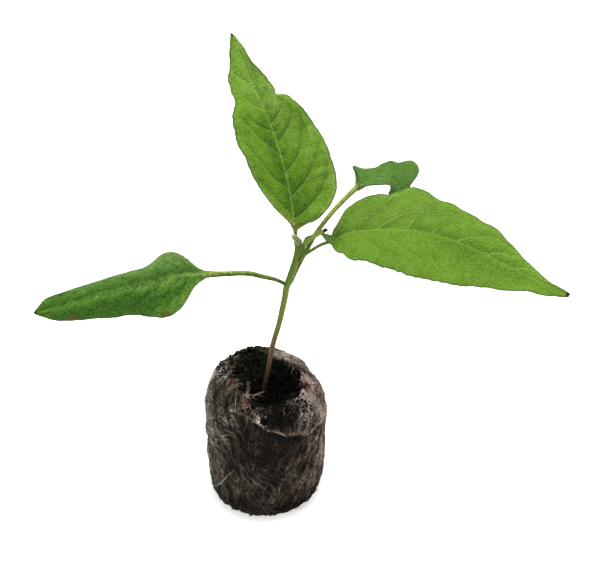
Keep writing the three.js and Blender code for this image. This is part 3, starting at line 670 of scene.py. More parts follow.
def bladeSheet(leaf, s, v):
    # middle sheet of the blade: s from the stalk to the tip, v from the left margin to the right
    a = np.abs(v)
    side = np.where(v < 0, -1, 1)
    u = bladePlace(s, v)
    at, tangent, normal, across = framesAlong(leaf["midrib"], leaf["up"], u)
    w = halfWidth(leaf, u, side)
    lift = np.radians(bySide(leaf, "lift", side, u))
    curl = np.radians(bySide(leaf, "curl", side, u))
    curl = np.where(np.abs(curl) < 1e-4, 1e-4, curl)
    out = (np.sin(lift + curl * a) - np.sin(lift)) / curl
    rise = (np.cos(lift) - np.cos(lift + curl * a)) / curl
    height, waves, start = leaf["wave"]
    ripple = height * a * a * np.sin(2 * np.pi * waves * u + start + side) * smooth(u / 0.15)
    ear = np.where(side < 0, *leaf["ears"]) * a * np.exp(-(u / 0.1) ** 2)
    return (at + (side * w * out)[..., None] * across + (w * rise + ripple)[..., None] * normal
            - ear[..., None] * tangent)


def bladeNormal(leaf, s, v):
    e = 0.01
    ds = bladeSheet(leaf, np.minimum(s + e, 1), v) - bladeSheet(leaf, np.maximum(s - e, 0), v)
    dv = bladeSheet(leaf, s, np.minimum(v + e, 1)) - bladeSheet(leaf, s, np.maximum(v - e, -1))
    return unit(np.cross(dv, ds))


def veinLines(leaf):
    # side veins as (side, stops), each stop its place along the midrib and the share of the way out
    if "veins" in leaf:
        return leaf["veins"]
    lines = []
    reach = np.array([0, 0.2, 0.4, 0.6, 0.75, 0.85])
    for side, shift in ((1, 0.0), (-1, 0.025)):
        for start in leaf["starts"]:
            rise = 0.27 * (1 - 0.55 * start) * reach ** 1.25 + 0.06 * reach ** 8
            lines.append((side, list(zip(np.minimum(start + shift + rise, 0.985), reach))))
    return lines


def veinDistance(leaf, u, v, length):
    # distance in mm to the nearest side vein on the flattened blade, and 1 on its side to the tip
    x = u * length
    y = v * halfWidth(leaf, u, np.where(v < 0, -1, 1))
    flat = np.stack([x, y, np.zeros_like(x)], -1)
    x = x + leaf["wander"] * lumps(flat, 2.4, 91)
    y = y + leaf["wander"] * lumps(flat, 2.4, 92)
    best = np.full(u.shape, 50.0)
    beyond = np.zeros(u.shape)
    for side, stops in veinLines(leaf):
        line = along(stops, np.linspace(0, 1, 25))
        px = line[:, 0] * length
        py = side * line[:, 1] * halfWidth(leaf, line[:, 0], np.full(len(line), side))
        for i in range(len(line) - 1):
            dx, dy = px[i + 1] - px[i], py[i + 1] - py[i]
            k = np.clip(((x - px[i]) * dx + (y - py[i]) * dy) / (dx * dx + dy * dy + 1e-9), 0, 1)
            fade = 1 + 0.8 * (i + k) / len(line)  # a vein thins on its way out
            away = fade * np.hypot(x - px[i] - k * dx, y - py[i] - k * dy)
            nearer = away < best
            best = np.where(nearer, away, best)
            beyond = np.where(nearer, side * (dy * (x - px[i]) - dx * (y - py[i])) > 0, beyond)
    return best, beyond


def curveLength(points):
    return stepLengths(points, 200)[1].sum()


def bladeGrid(leaf, columns):
    # places all over the blade, and distances in mm on it when it is laid flat
    length = curveLength(leaf["midrib"])
    rows = max(14, int(length / leafShared["rowSpacing"]))
    s = np.linspace(0, 1, rows) ** leafShared["rowCrowding"]
    s = np.unique(np.concatenate([s, leafShared["stalkBlend"] * np.linspace(0, 1.2, 6)]))
    crowding = leafShared["columnCrowding"]
    v = np.sin(np.linspace(-1, 1, columns) * np.pi / 2 * crowding) / np.sin(np.pi / 2 * crowding)
    grid = SimpleNamespace(length=length, rows=s)
    grid.s, grid.v = np.meshgrid(s, v, indexing="ij")
    grid.a = np.abs(grid.v)
    grid.u = bladePlace(grid.s, grid.v)
    grid.w = halfWidth(leaf, grid.u, np.where(grid.v < 0, -1, 1))
    grid.toVein, grid.beyond = veinDistance(leaf, grid.u, grid.v, length)
    grid.toRib = grid.a * grid.w
    grid.toMargin = (1 - grid.a) * grid.w
    grid.inner = smooth(grid.toMargin / leafShared["flatMargin"]) * np.minimum(1, grid.w / 6)
    grid.flat = np.stack([grid.u * length, grid.v * grid.w, np.zeros_like(grid.u)], -1)
    grid.blister = np.abs(lumps(grid.flat, 3.0, 3)) + 0.6 * np.abs(lumps(grid.flat, 1.5, 5)) - 0.35
    grid.blister += 0.2 * lumps(grid.flat, 0.7, 6)
    return grid


def bladeRelief(leaf, grid):
    # how far the blade stands out: quilted between its veins, blistered, and grooved over them
    swell = 1 - np.exp(-grid.toVein / leafShared["veinRise"])
    swell = swell * (1 - np.exp(-(grid.toRib / leafShared["ribRise"]) ** 2)) * grid.inner
    relief = np.where(grid.v < 0, *leaf["quilt"]) * (swell - 0.35)
    relief += leaf["blister"] * grid.blister * grid.inner
    if "marginFolds" in leaf:  # small folds that run across the blade from the margin
        foldSide, foldMiddle, foldReach, foldHeight = leaf["marginFolds"]
        foldRange = np.exp(-((grid.u - foldMiddle) / foldReach) ** 2 - ((grid.a - 0.75) / 0.22) ** 2)
        foldRange = foldRange * (grid.v * foldSide > 0)
        folds = np.sin(grid.u * grid.length * 1.9 + 2.5 * grid.a + 1.2 * lumps(grid.flat, 3.0, 8))
        relief += foldHeight * foldRange * folds
    veinDepth, veinWidth = leafShared["veinGroove"]
    ribDepth, ribWidth = leafShared["ribGroove"]
    veinGroove = veinDepth * np.exp(-(grid.toVein / veinWidth) ** 2) * grid.inner
    return relief - (veinGroove + ribDepth * np.exp(-(grid.toRib / ribWidth) ** 2) * smooth(grid.w / 2))


def bladeMarks(leaf, grid):
    # what the leaf's material reads at each point of the blade
    u, v, w, a, length = grid.u, grid.v, grid.w, grid.a, grid.length
    # tone: a pale margin band, and tone patches that are partly leaf colour and partly painted light and
    # shade
    tone = leaf["paleMargin"] * np.exp(-(grid.toMargin / 0.7) ** 2) * (1 - smooth(u / 0.5)) * smooth(w / 4)
    for placeU, placeV, spreadU, spreadV, amount in leaf["tonesLightAndShade"]:
        tone += amount * np.exp(-((u - placeU) / spreadU) ** 2 - ((v - placeV) / spreadV) ** 2)
    tipStart = 1 - leaf["tipLength"] / length
    tip = smooth((u - tipStart) * length / 0.4) * leaf["tip"]
    stain = np.zeros_like(u)
    for key, field in (("spots", tip), ("stains", stain)):
        for placeU, placeV, size in leaf[key]:
            away = np.hypot((u - placeU) * length, (v - placeV) * w)
            field[:] = np.maximum(field, smooth(1.5 - away / size))
    _, ribNear, ribFar = leaf["ribLine"]
    veinShadeTone = np.where(v < 0, *leaf["veinShadeTone"])
    towardTip = 1 - 0.75 * smooth((u - 0.55) / 0.25)
    return {
        "onBlade": np.maximum(smooth(grid.s / 0.03), smooth(grid.toRib - 0.8)),
        "veinSide": np.clip(grid.toVein, 0, 3) * np.where(grid.beyond > 0, 1, -1),
        "vein": smooth(1.3 - grid.toVein) * (1 - 0.6 * a) * np.where(v < 0, *leaf["veinLine"]),
        "fold": np.clip(grid.blister, -1, 1) * leaf["blister"] / 0.34,
        # painted shade on the tip side of each vein, weaker towards the leaf's tip
        "crease": (smooth((3 - grid.toVein) / 1.5) * smooth(w / 3) * (1 - 0.5 * a ** 2)
                   * veinShadeTone * towardTip),
        "stain": stain,
        "rib": np.clip(ribNear + (ribFar - ribNear) * u, 0, 1),
        "ribSide": np.clip(v * w, -3, 3),
        "edge": np.exp(-(grid.toMargin / 0.3) ** 2) * smooth(w / 3),
        "tone": tone,
        "tip": tip,
    }


def leafPiece(name, leaf):
    n = leafShared["acrossPoints" if len(leaf["widthLeft"]) > 6 else "budAcrossPoints"]
    ringAngle = np.concatenate([np.pi * (1 - (np.arange(n) + 0.5) / n), -np.pi * (np.arange(n) + 0.5) / n])
    wide = np.cos(ringAngle)
    high = np.sin(ringAngle) * np.where(np.sin(ringAngle) > 0, leafShared["stalkTop"], 1)
    # the blade runs down the stalk a little on each side
    webLeft, webRight, webLength = leaf["web"]
    webSide = np.where(wide < 0, -webLeft, webRight) * np.abs(wide) ** 3

    def stalkRings(points, ups, radius, t, webEase):
        at, _, normal, across = framesAlong(points, ups, t)
        web = np.reshape(webEase, (-1, 1, 1)) * webSide[:, None] * across[:, None]
        return ringsRound(at, radius[:, None], across, normal, wide, high) + web

    # stalk, which comes out of the stem
    stalkLength = curveLength(leaf["stalk"])
    t = np.linspace(0, 1, max(4, int(stalkLength / leafShared["stalkSpacing"])), endpoint=False)
    radius = along(leaf["stalkRadius"], t) * (0.5 + 0.5 * smooth(t * stalkLength / leafShared["stalkStart"]))
    webEase = smooth(1 - (1 - t) * stalkLength / webLength) ** 1.5
    stalk = stalkRings(leaf["stalk"], leaf["stalkUp"], radius, t, webEase)

    # blade, which grows out of the end of the stalk and has the midrib on its under face
    grid = bladeGrid(leaf, n)
    sheet = bladeSheet(leaf, grid.s, grid.v)
    normal = bladeNormal(leaf, grid.s, grid.v)
    relief = bladeRelief(leaf, grid)
    thick = leafShared["halfThickness"] * (1 - 0.35 * grid.a ** 6)
    ribStart = leaf["stalkRadius"][-1]
    ribRadius = ribStart + (leafShared["ribEndRadius"] - ribStart) * grid.rows ** 0.7
    rib = ribRadius[:, None] * 0.9 * np.exp(-(grid.toRib / (ribRadius[:, None] * 0.9)) ** 2)
    upper = sheet + normal * (relief + thick)[..., None]
    under = sheet + normal * (relief - thick - rib)[..., None]
    blade = np.concatenate([upper, under[:, ::-1]], 1)
    root = stalkRings(leaf["midrib"], leaf["up"], ribRadius, grid.rows, 1.0)
    blade = root + (blade - root) * smooth(grid.rows / leafShared["stalkBlend"])[:, None, None]
    body = closedBody(np.concatenate([stalk, blade]))

    def onRings(stalkValue, bladeValue, underValue=None):
        # a value at every point of the piece, from one for the stalk and a grid for each face of the blade
        underValue = bladeValue if underValue is None else underValue
        both = np.concatenate([bladeValue, underValue[:, ::-1]], 1)
        front = np.broadcast_to(stalkValue, (len(t), 2 * n) + np.shape(both)[2:])
        values = np.concatenate([front, both]).reshape((-1,) + np.shape(both)[2:])
        return np.concatenate([values, values[:1], values[-1:]])

    attributes = {key: onRings(0.0, values) for key, values in bladeMarks(leaf, grid).items()}
    stalkPlace = np.zeros((len(t), 2 * n, 3))
    stalkPlace[..., 0] = -(1 - t)[:, None] * stalkLength
    stalkPlace[..., 1] = np.sin(ringAngle) * 0.8
    attributes["place"] = onRings(stalkPlace, grid.flat)
    # painted shade on the sides of the stalk
    attributes["flank"] = onRings(np.cos(ringAngle) ** 2, 0 * grid.u)
    attributes["under"] = onRings(0.0, np.zeros_like(grid.u), np.ones_like(grid.u))
    addPiece(name, body, leafTissue(name, leaf), plantPart, attributes)


def leafTissue(name, leaf):
    # living pepper leaf, satin from its wax layer: fine areoles, pale sunk veins, darker margin
    deep, middle, light = leaf["colours"]
    ribWidth = leaf["ribLine"][0]
    material, tree, shader = startMaterial("pepperLeafTissue_" + name)
    read = {key: addNode(tree, "Attribute", attribute_name=key).outputs["Fac"]
            for key in ("onBlade", "vein", "crease", "rib", "edge", "under", "tone", "tip", "stain", "fold",
                        "flank", "veinSide", "ribSide")}
    place = addNode(tree, "Attribute", attribute_name="place").outputs["Vector"]
    # areoles, the cells between the finest veins, are about 0.8 mm; mottling runs over some 3 mm
    cells = addNode(tree, "TexVoronoi", {"Vector": place, "Scale": 1 / 0.8}, feature="DISTANCE_TO_EDGE")
    mottle = addNode(tree, "TexNoise", {"Vector": place, "Scale": 1 / 3.0, "Detail": 4.0})
    grain = addNode(tree, "TexNoise", {
        "Vector": place, "Scale": 1 / 0.6, "Detail": 4.0, "Roughness": 0.65, "Distortion": 0.6,
    })
    # crinkles where the blade has puckered, some 2.5 mm apart: sunk, and darkened with painted shade
    bend = addNode(tree, "TexNoise", {"Vector": place, "Scale": 1 / 1.6, "Detail": 3.0})
    bend = addNode(tree, "VectorMath", {0: bend.outputs["Color"], 1: (3.0, 3.0, 0.0), 2: place},
                   operation="MULTIPLY_ADD")
    crinkle = addNode(tree, "TexVoronoi", {"Vector": bend, "Scale": 1 / 2.5}, feature="DISTANCE_TO_EDGE")
    wrinkleAndShade = addNode(tree, "MapRange", {
        "Value": crinkle, "From Min": 0.0, "From Max": 0.11, "To Min": 1.0, "To Max": 0.0,
    }, interpolation_type="SMOOTHSTEP")
    puckered = addNode(tree, "MapRange", {"Value": mottle, "From Min": 0.42, "From Max": 0.56})
    for factor in (puckered, leaf["wrinkles"]):
        wrinkleAndShade = addNode(tree, "Math", {0: wrinkleAndShade, 1: factor}, operation="MULTIPLY")
    shade = 0.25
    for source, amount in ((mottle, 0.5), (read["tone"], 0.42), (grain, 0.6), (read["fold"], 0.2)):
        shade = addNode(tree, "Math", {0: source, 1: amount, 2: shade}, operation="MULTIPLY_ADD")
    shade = addNode(tree, "Math", {0: shade, 1: 0.3}, operation="SUBTRACT")
    colour = addNode(tree, "ValToRGB", {"Fac": shade}, ramp=[(0.1, deep), (0.5, middle), (0.95, light)])
    net = addNode(tree, "MapRange", {
        "Value": cells, "From Min": 0.0, "From Max": 0.12, "To Min": 0.3, "To Max": 0.0,
    })
    # a pale line on each vein, painted shade on each vein's side towards the tip, and painted shade beside
    # the midrib on its left
    profiles = {}
    for key, source, stops in [
        ("crease", "veinSide", [(0.47, 0.0), (0.52, 1.0), (0.66, 0.5), (1.0, 0.0)]),
        ("vein", "veinSide", [(0.45, 0.0), (0.492, 1.0), (0.53, 0.0)]),
        ("ribShade", "ribSide", [(0.4, 0.0), (0.48, 1.0), (0.5, 1.0), (0.53, 0.0)]),
        ("rib", "ribSide", [(0.5 - ribWidth / 3, 0.0), (0.5, 1.0), (0.5 + ribWidth / 3, 0.0)]),
    ]:
        across = addNode(tree, "MapRange", {"Value": read[source], "From Min": -3.0, "From Max": 3.0})
        profiles[key] = addNode(tree, "ValToRGB", {"Fac": across}, ramp=stops)
    # each layer of colour lies over the last one where the product of its factors says
    for (amount, *factors), tint in [
        ([net], light),
        # painted shade in the sunk crinkles
        ([wrinkleAndShade], deep),
        # painted shade on the tip side of the veins
        ([read["crease"], profiles["crease"]], deep),
        # painted shade along the left side of the midrib
        ([read["rib"], 0.35, profiles["ribShade"]], deep),
        ([read["vein"], profiles["vein"]], leafShared["veinColour"]),
        ([read["rib"], profiles["rib"]], leafShared["ribColour"]),
        ([read["edge"], 0.7], leafShared["edgeColour"]),
        ([read["stain"], 0.55], leafShared["stainColour"]),
        ([read["under"], leaf["underPaleness"]], leafShared["underColour"]),
    ]:
        for factor in factors:
            amount = addNode(tree, "Math", {0: amount, 1: factor}, operation="MULTIPLY")
        colour = addNode(tree, "Mix", {0: amount, 6: colour, 7: tint}, data_type="RGBA")
    # stalk: yellow-green, its sides darkened with painted shade
    streak = addNode(tree, "TexNoise", {"Vector": place, "Scale": 0.9, "Detail": 3.0})
    streak = addNode(tree, "Math", {0: read["flank"], 1: leaf["flankShadeTone"], 2: streak},
                     operation="MULTIPLY_ADD")
    stalk = addNode(tree, "ValToRGB", {"Fac": streak}, ramp=leafShared["stalkColours"])
    colour = addNode(tree, "Mix", {0: read["onBlade"], 6: stalk, 7: colour}, data_type="RGBA")
    colour = addNode(tree, "Mix", {0: read["tip"], 6: colour, 7: leafShared["tipColour"]}, data_type="RGBA")
    normal = {}
    for height, depth, sunk in ((cells, 0.0004, False), (wrinkleAndShade, 0.0004, True), (grain, 0.0007, False)):
        bump = {"Height": height, "Strength": 1.0, "Distance": depth, **normal}
        normal = {"Normal": addNode(tree, "Bump", bump, invert=sunk)}
    rough = addNode(tree, "MapRange", {
        "Value": grain, "From Min": 0.2, "From Max": 0.8, "To Min": 0.34, "To Max": 0.52,
    })
    setSockets(shader, {
        "Base Color": colour, "Roughness": rough, "IOR": 1.42, "Specular IOR Level": 0.26,
        "Subsurface Weight": 0.1, "Subsurface Radius": (0.5, 1.0, 0.2), "Subsurface Scale": 0.0003, **normal,
    })
    return material


for name, leaf in leaves.items():
    leafPiece(name, {**plainLeaf, **leaf})
print("leaves ready")


# Stem and roots

def tubeParts(points, radius, sides, count, wobble, ridges=0.0):
    # closed tube with its rings at even distances, as in the CAD tubes
    fractions, walked = walkAlong(points, 800)
    at = along(points, np.interp(np.linspace(0, walked[-1], count), walked, fractions))
    tangent = unit(np.gradient(at, axis=0))
    normal = unit(np.cross(tangent, [0.3, -0.9, 0.31]))
    angle = ringAngles(sides)
    r = along(radius, np.linspace(0, 1, count))[:, None] * (1 + ridges * np.sin(5 * angle)[None])
    rings = ringsRound(at, r, normal, np.cross(tangent, normal), np.cos(angle), np.sin(angle))
    return closedBody(wobbled(rings, wobble, 1.1, 11))


def joined(parts):
    # several bodies as one list of points and faces
    points, faces, first = [], [], 0
    for bodyPoints, bodyFaces in parts:
        points.append(bodyPoints)
        faces.extend(block + first for block in bodyFaces)
        first += len(bodyPoints)
    return np.concatenate(points), faces


stemShape = {
    "path": [
        (-1.2, 0.2, 24), (-0.8, 0.1, 31), (-0.1, 0, 38.2), (1.4, 0.2, 46.2), (3.2, 0.3, 56.4),
        (5.0, 0.6, 63.2), (6.7, 0.9, 71.2), (7.6, 1.3, 76.5), (8.7, 1.6, 80.0), (9.9, 1.9, 83.9),
        (10.6, 2.0, 87.2), (10.7, 1.9, 90.0),
    ],
    "radius": [0.6, 0.75, 0.72, 0.68, 0.72, 0.78, 0.82, 0.86, 0.92, 0.97, 1.0, 0.75],
    "sides": 24,
    "rings": 170,
    "ridges": 0.04,
    "wobble": 0.05,
    # colours from the foot up to the leaves, and the heights in metres that they run between
    "skin": [
        (0.0, "#241910"), (0.1, "#3c2b1d"), (0.19, "#664c36"), (0.28, "#806248"), (0.38, "#8c7155"),
        (0.45, "#87784e"), (0.53, "#9a9e52"), (0.72, "#92b044"), (0.85, "#7ea236"), (1.0, "#76a232"),
    ],
    "skinFrom": 0.036,
    "skinTo": 0.096,
    "streakColour": "#4e4a33",
    "paintedShadeSide": "#466614",
    "paintedHighlightSide": "#c2ce7c",
}

lateral = [0.5, 0.4, 0.35, 0.3]
rootShape = {
    "sides": 10,
    "rings": 60,
    "wobble": 0.06,
    # taproot, then the laterals: course and radii
    "courses": [
        ([(-0.8, 0.2, 27), (-1.2, 0.6, 18), (-0.6, 0.2, 10), (0.8, -0.6, 5)], [0.7, 0.6, 0.42, 0.3]),
        ([(0.0, 0.1, 34), (4.5, 2.0, 31), (9.0, 5.0, 27), (13.0, 7.0, 20)], lateral),
        ([(-0.2, 0.1, 33), (-4.0, 3.0, 30), (-8.5, 6.5, 25), (-12.0, 8.0, 17)], lateral),
        ([(-0.5, 0.1, 30), (-3.5, -3.5, 27), (-8.0, -7.0, 22), (-11.0, -10.0, 14)], lateral),
        ([(-0.3, 0.1, 31), (3.0, -4.0, 28), (7.0, -8.5, 23), (10.0, -11.5, 15)], lateral),
        ([(-0.9, 0.3, 25), (0.5, 5.0, 22), (2.0, 9.5, 16), (2.0, 12.5, 9)], lateral),
        ([(-1.1, 0.5, 20), (4.0, -1.0, 16), (8.5, -2.5, 11), (11.5, -3.0, 5)], lateral),
        ([(-1.1, 0.5, 16), (-5.0, 1.0, 13), (-9.0, -1.5, 9), (-12.0, -2.5, 4)], lateral),
    ],
}


def stemTissue():
    # young pepper stem: purple-brown skin low down, green and slightly ridged towards the leaves
    material, tree, shader = startMaterial("pepperStemSkin")
    place = addNode(tree, "NewGeometry")
    height = addNode(tree, "SeparateXYZ", {"Vector": place.outputs["Position"]}).outputs["Z"]
    # streaks of the skin, 0.35 mm wide and 3 mm long
    stretch = addNode(tree, "Mapping", {
        "Vector": place.outputs["Position"], "Scale": (1000 / 0.35, 1000 / 0.35, 1000 / 3.0),
    })
    streak = addNode(tree, "TexNoise", {"Vector": stretch, "Scale": 1.0, "Detail": 3.0})
    level = addNode(tree, "Math", {0: streak, 1: 0.008, 2: height}, operation="MULTIPLY_ADD")
    level = addNode(tree, "MapRange", {
        "Value": level, "From Min": stemShape["skinFrom"], "From Max": stemShape["skinTo"],
    })
    colour = addNode(tree, "ValToRGB", {"Fac": level}, ramp=stemShape["skin"])
    shade = addNode(tree, "MapRange", {
        "Value": streak, "From Min": 0.3, "From Max": 0.7, "To Min": 0.35, "To Max": 0.0,
    })
    colour = addNode(tree, "Mix", {0: shade, 6: colour, 7: stemShape["streakColour"]}, data_type="RGBA")
    # painted shade darkens the upper stem on its side facing -x, and a pale painted highlight lights its side
    # facing +x
    facing = addNode(tree, "SeparateXYZ", {"Vector": place.outputs["Normal"]}).outputs["X"]
    upper = addNode(tree, "MapRange", {"Value": height, "From Min": 0.055, "From Max": 0.075})
    for start, end, tint in ((-0.2, -0.95, "paintedShadeSide"), (0.25, 0.6, "paintedHighlightSide")):
        side = addNode(tree, "MapRange", {
            "Value": facing, "From Min": start, "From Max": end, "To Min": 0.0, "To Max": 0.65,
        })
        side = addNode(tree, "Math", {0: side, 1: upper}, operation="MULTIPLY")
        colour = addNode(tree, "Mix", {0: side, 6: colour, 7: stemShape[tint]}, data_type="RGBA")
    bump = addNode(tree, "Bump", {"Height": streak, "Strength": 0.4, "Distance": 0.0001})
    setSockets(shader, {
        "Base Color": colour, "Roughness": 0.5, "IOR": 1.42, "Specular IOR Level": 0.2, "Normal": bump,
        "Subsurface Weight": 0.1, "Subsurface Radius": (0.5, 1.0, 0.2), "Subsurface Scale": 0.0004,
    })
    return material


def rootTissue():
    # washed young root: off-white and dull, stained in patches of about 1.5 mm
    material, tree, shader = startMaterial("youngRootSkin")
    place = addNode(tree, "NewGeometry").outputs["Position"]
    stain = addNode(tree, "TexNoise", {"Vector": place, "Scale": 1000 / 1.5, "Detail": 3.0})
    colour = addNode(tree, "ValToRGB", {"Fac": stain},
                     ramp=[(0.3, "#6e6752"), (0.6, "#a39c88"), (0.8, "#c4bfae")])
    setSockets(shader, {"Base Color": colour, "Roughness": 0.6, "IOR": 1.42})
    return material


rootSkin = rootTissue()
stemBody = tubeParts(stemShape["path"], stemShape["radius"], stemShape["sides"], stemShape["rings"],
                     stemShape["wobble"], stemShape["ridges"])
addPiece("stem", stemBody, stemTissue(), plantPart)
roots = joined([tubeParts(path, radius, rootShape["sides"], rootShape["rings"], rootShape["wobble"])
                for path, radius in rootShape["courses"]])
addPiece("rootsInPeat", roots, rootSkin, plantPart)
print("stem and roots ready")


# Plug: the shape of the CAD source, then finer relief

plug = {
    "fleeceThickness": 0.7,
    "clearance": 0.3,
    "profile": [
        (16.5, 0), (19.0, 0.9), (20.1, 3.6), (20.5, 9), (20.5, 15), (20.4, 21), (20.0, 27),
        (19.7, 32), (19.2, 36), (18.5, 39), (17.4, 41.4), (16.0, 43.3), (14.4, 44.6), (12.4, 45.5),
        (10.4, 45.9), (8.4, 46.0),
    ],
    # radius of the torn edge, and height of the fold over the front, at angles round the plug
    "tornEdge": [
        (0, 12.4), (30, 11.2), (60, 10.0), (88, 10.4), (105, 13.8), (125, 15.4), (150, 13.2), (180, 11.0),
        (210, 10.4), (240, 12.4), (260, 14.9), (285, 15.9), (315, 15.4), (335, 14.0), (360, 12.4),
    ],
    "foldLine": [(236, 45), (258, 41.6), (279, 38.3), (295, 35.4), (317, 32.8), (337, 32.0), (372, 30)],
    "foldFrom": 236,
    "foldTo": 388,
    "foldStep": 0.8,
    # depth, middle angle, reach to each side, lowest and highest point
    "flatPlaces": [(0.8, 182, 50, 6, 36), (1.2, 50, 44, 30, 60), (0.9, 5, 34, 29, 49),
                   (0.6, 20, 26, 34, 52), (1.6, 205, 45, 0, 26), (1.0, 347, 34, -4, 32)],
    "rimInset": 0.6,
    "stemFoot": (0.4, 0.0),
    "hollowFloor": 38.0,
    "hollowFlat": (0.52, 0.1),  # share of the way to the rim that is flat, at the front and at the back
    "hollowDip": (3.2, -3.0, 1.5, 3.6),  # x, y, depth and reach
}


def roundTheRim(stops, degrees):
    # value at an angle in a list of (angle, value), eased from one to the next
    angles, values = np.array(stops, float).T
    i = np.clip(np.searchsorted(angles, degrees, side="right"), 1, len(stops) - 1)
    f = smooth((degrees - angles[i - 1]) / (angles[i] - angles[i - 1]))
    return values[i - 1] + (values[i] - values[i - 1]) * f


def openingRadius(angle):
    return roundTheRim(plug["tornEdge"], np.degrees(angle) % 360)


def tornRadius(angle):
    return openingRadius(angle) + 0.35 * np.sin(11 * angle + 1) + 0.25 * np.sin(17 * angle)


def foldPlace(angle, z):
    # angle in degrees, counted on past 360 where the fold ends, and height above the fold
    wound = np.degrees(angle) % 360
    wound = np.where(wound < 30, wound + 360, wound)
    return wound, z - roundTheRim(plug["foldLine"], wound)


def dent(angle, z):
    # how far the wrap stands out from the plain profile: swellings, pleats, fold and flat places
    deg = np.degrees(angle) % 360
    swell = 0.28 * np.sin(2 * angle + 0.11 * z) + 0.2 * np.sin(5 * angle - 0.17 * z + 1)
    pleats = 0.22 * np.sin(9 * angle + 0.2 * z) * smooth((z - 33) / 5) * smooth((46 - z) / 3)
    wound, above = foldPlace(angle, z)
    ends = smooth((wound - plug["foldFrom"]) / 15) * smooth((plug["foldTo"] - wound) / 20)
    fold = plug["foldStep"] * ends * smooth((above + 1.2) / 2.4) * smooth((45.5 - z) / 4)
    total = smooth(z / 6) * smooth((45 - z) / 8) * swell + pleats + fold
    for depth, middle, reach, low, high in plug["flatPlaces"]:
        half = (high - low) / 2
        away = np.abs(z - low - half) / half
        around = np.abs((deg - middle + 180) % 360 - 180)
        total = total - depth * smooth(1 - around / reach) * smooth(1.6 * (1 - away))
    return total


def wrapPoint(angle, t, depth):
    # place on the wrap at a fraction of the profile, sunk below its outer face by "depth"
    angle, t, depth = np.broadcast_arrays(np.asarray(angle, float), t, depth)
    profile = plug["profile"]
    p = along(profile, t)
    q = unit(along(profile, np.minimum(t + 1e-3, 1)) - along(profile, np.maximum(t - 1e-3, 0)))
    r = p[..., 0] + dent(angle, p[..., 1]) - depth * q[..., 1]
    z = p[..., 1] + depth * q[..., 0]
    return np.stack([r * np.cos(angle), r * np.sin(angle), z], -1)


def onWrap(angle, t):
    # place on the wrap's outer face, and the way out from it
    p = wrapPoint(angle, t, 0.0)
    return p, unit(p - wrapPoint(angle, t, 1.0))


upperFractions = np.linspace(0.5, 1, 400)
upperRadii = along(plug["profile"], upperFractions)[:, 0]
wrapFractions, wrapWalk = walkAlong(plug["profile"], 600)


def shoulderAt(radius):
    return np.interp(-radius, -upperRadii, upperFractions)


def peatHeight(x, y):
    # the hollow's floor rises to the wrap all round, sooner at the back
    angle = np.arctan2(y, x)
    rim = openingRadius(angle) - plug["rimInset"]
    depth = plug["fleeceThickness"] + plug["clearance"] + 0.3
    rimHeight = along(plug["profile"], shoulderAt(rim))[..., 1] - depth
    footX, footY = plug["stemFoot"]
    away = np.hypot(x - footX, y - footY)
    reach = np.hypot(rim * np.cos(angle) - footX, rim * np.sin(angle) - footY)
    f = np.minimum(away / reach, 1)
    front, back = plug["hollowFlat"]
    flat = front + (back - front) * smooth(0.5 + 0.5 * np.sin(angle))
    crumbs = (0.55 * np.sin(1.15 * x + 0.6) * np.sin(0.95 * y + 0.4)
              + 0.4 * np.sin(2.1 * x - 1.6 * y) + 0.3 * np.sin(1.4 * x + 2.4 * y))
    dipX, dipY, dipDepth, dipReach = plug["hollowDip"]
    dip = dipDepth * np.exp(-(np.hypot(x - dipX, y - dipY) / dipReach) ** 2)
    bowl = plug["hollowFloor"] + (rimHeight - plug["hollowFloor"]) * smooth((f - flat) / (0.97 - flat))
    return bowl + crumbs * smooth(f * 3.5) * smooth((1 - f) * 4) - dip * smooth(f * 3)


# Fleece wrap

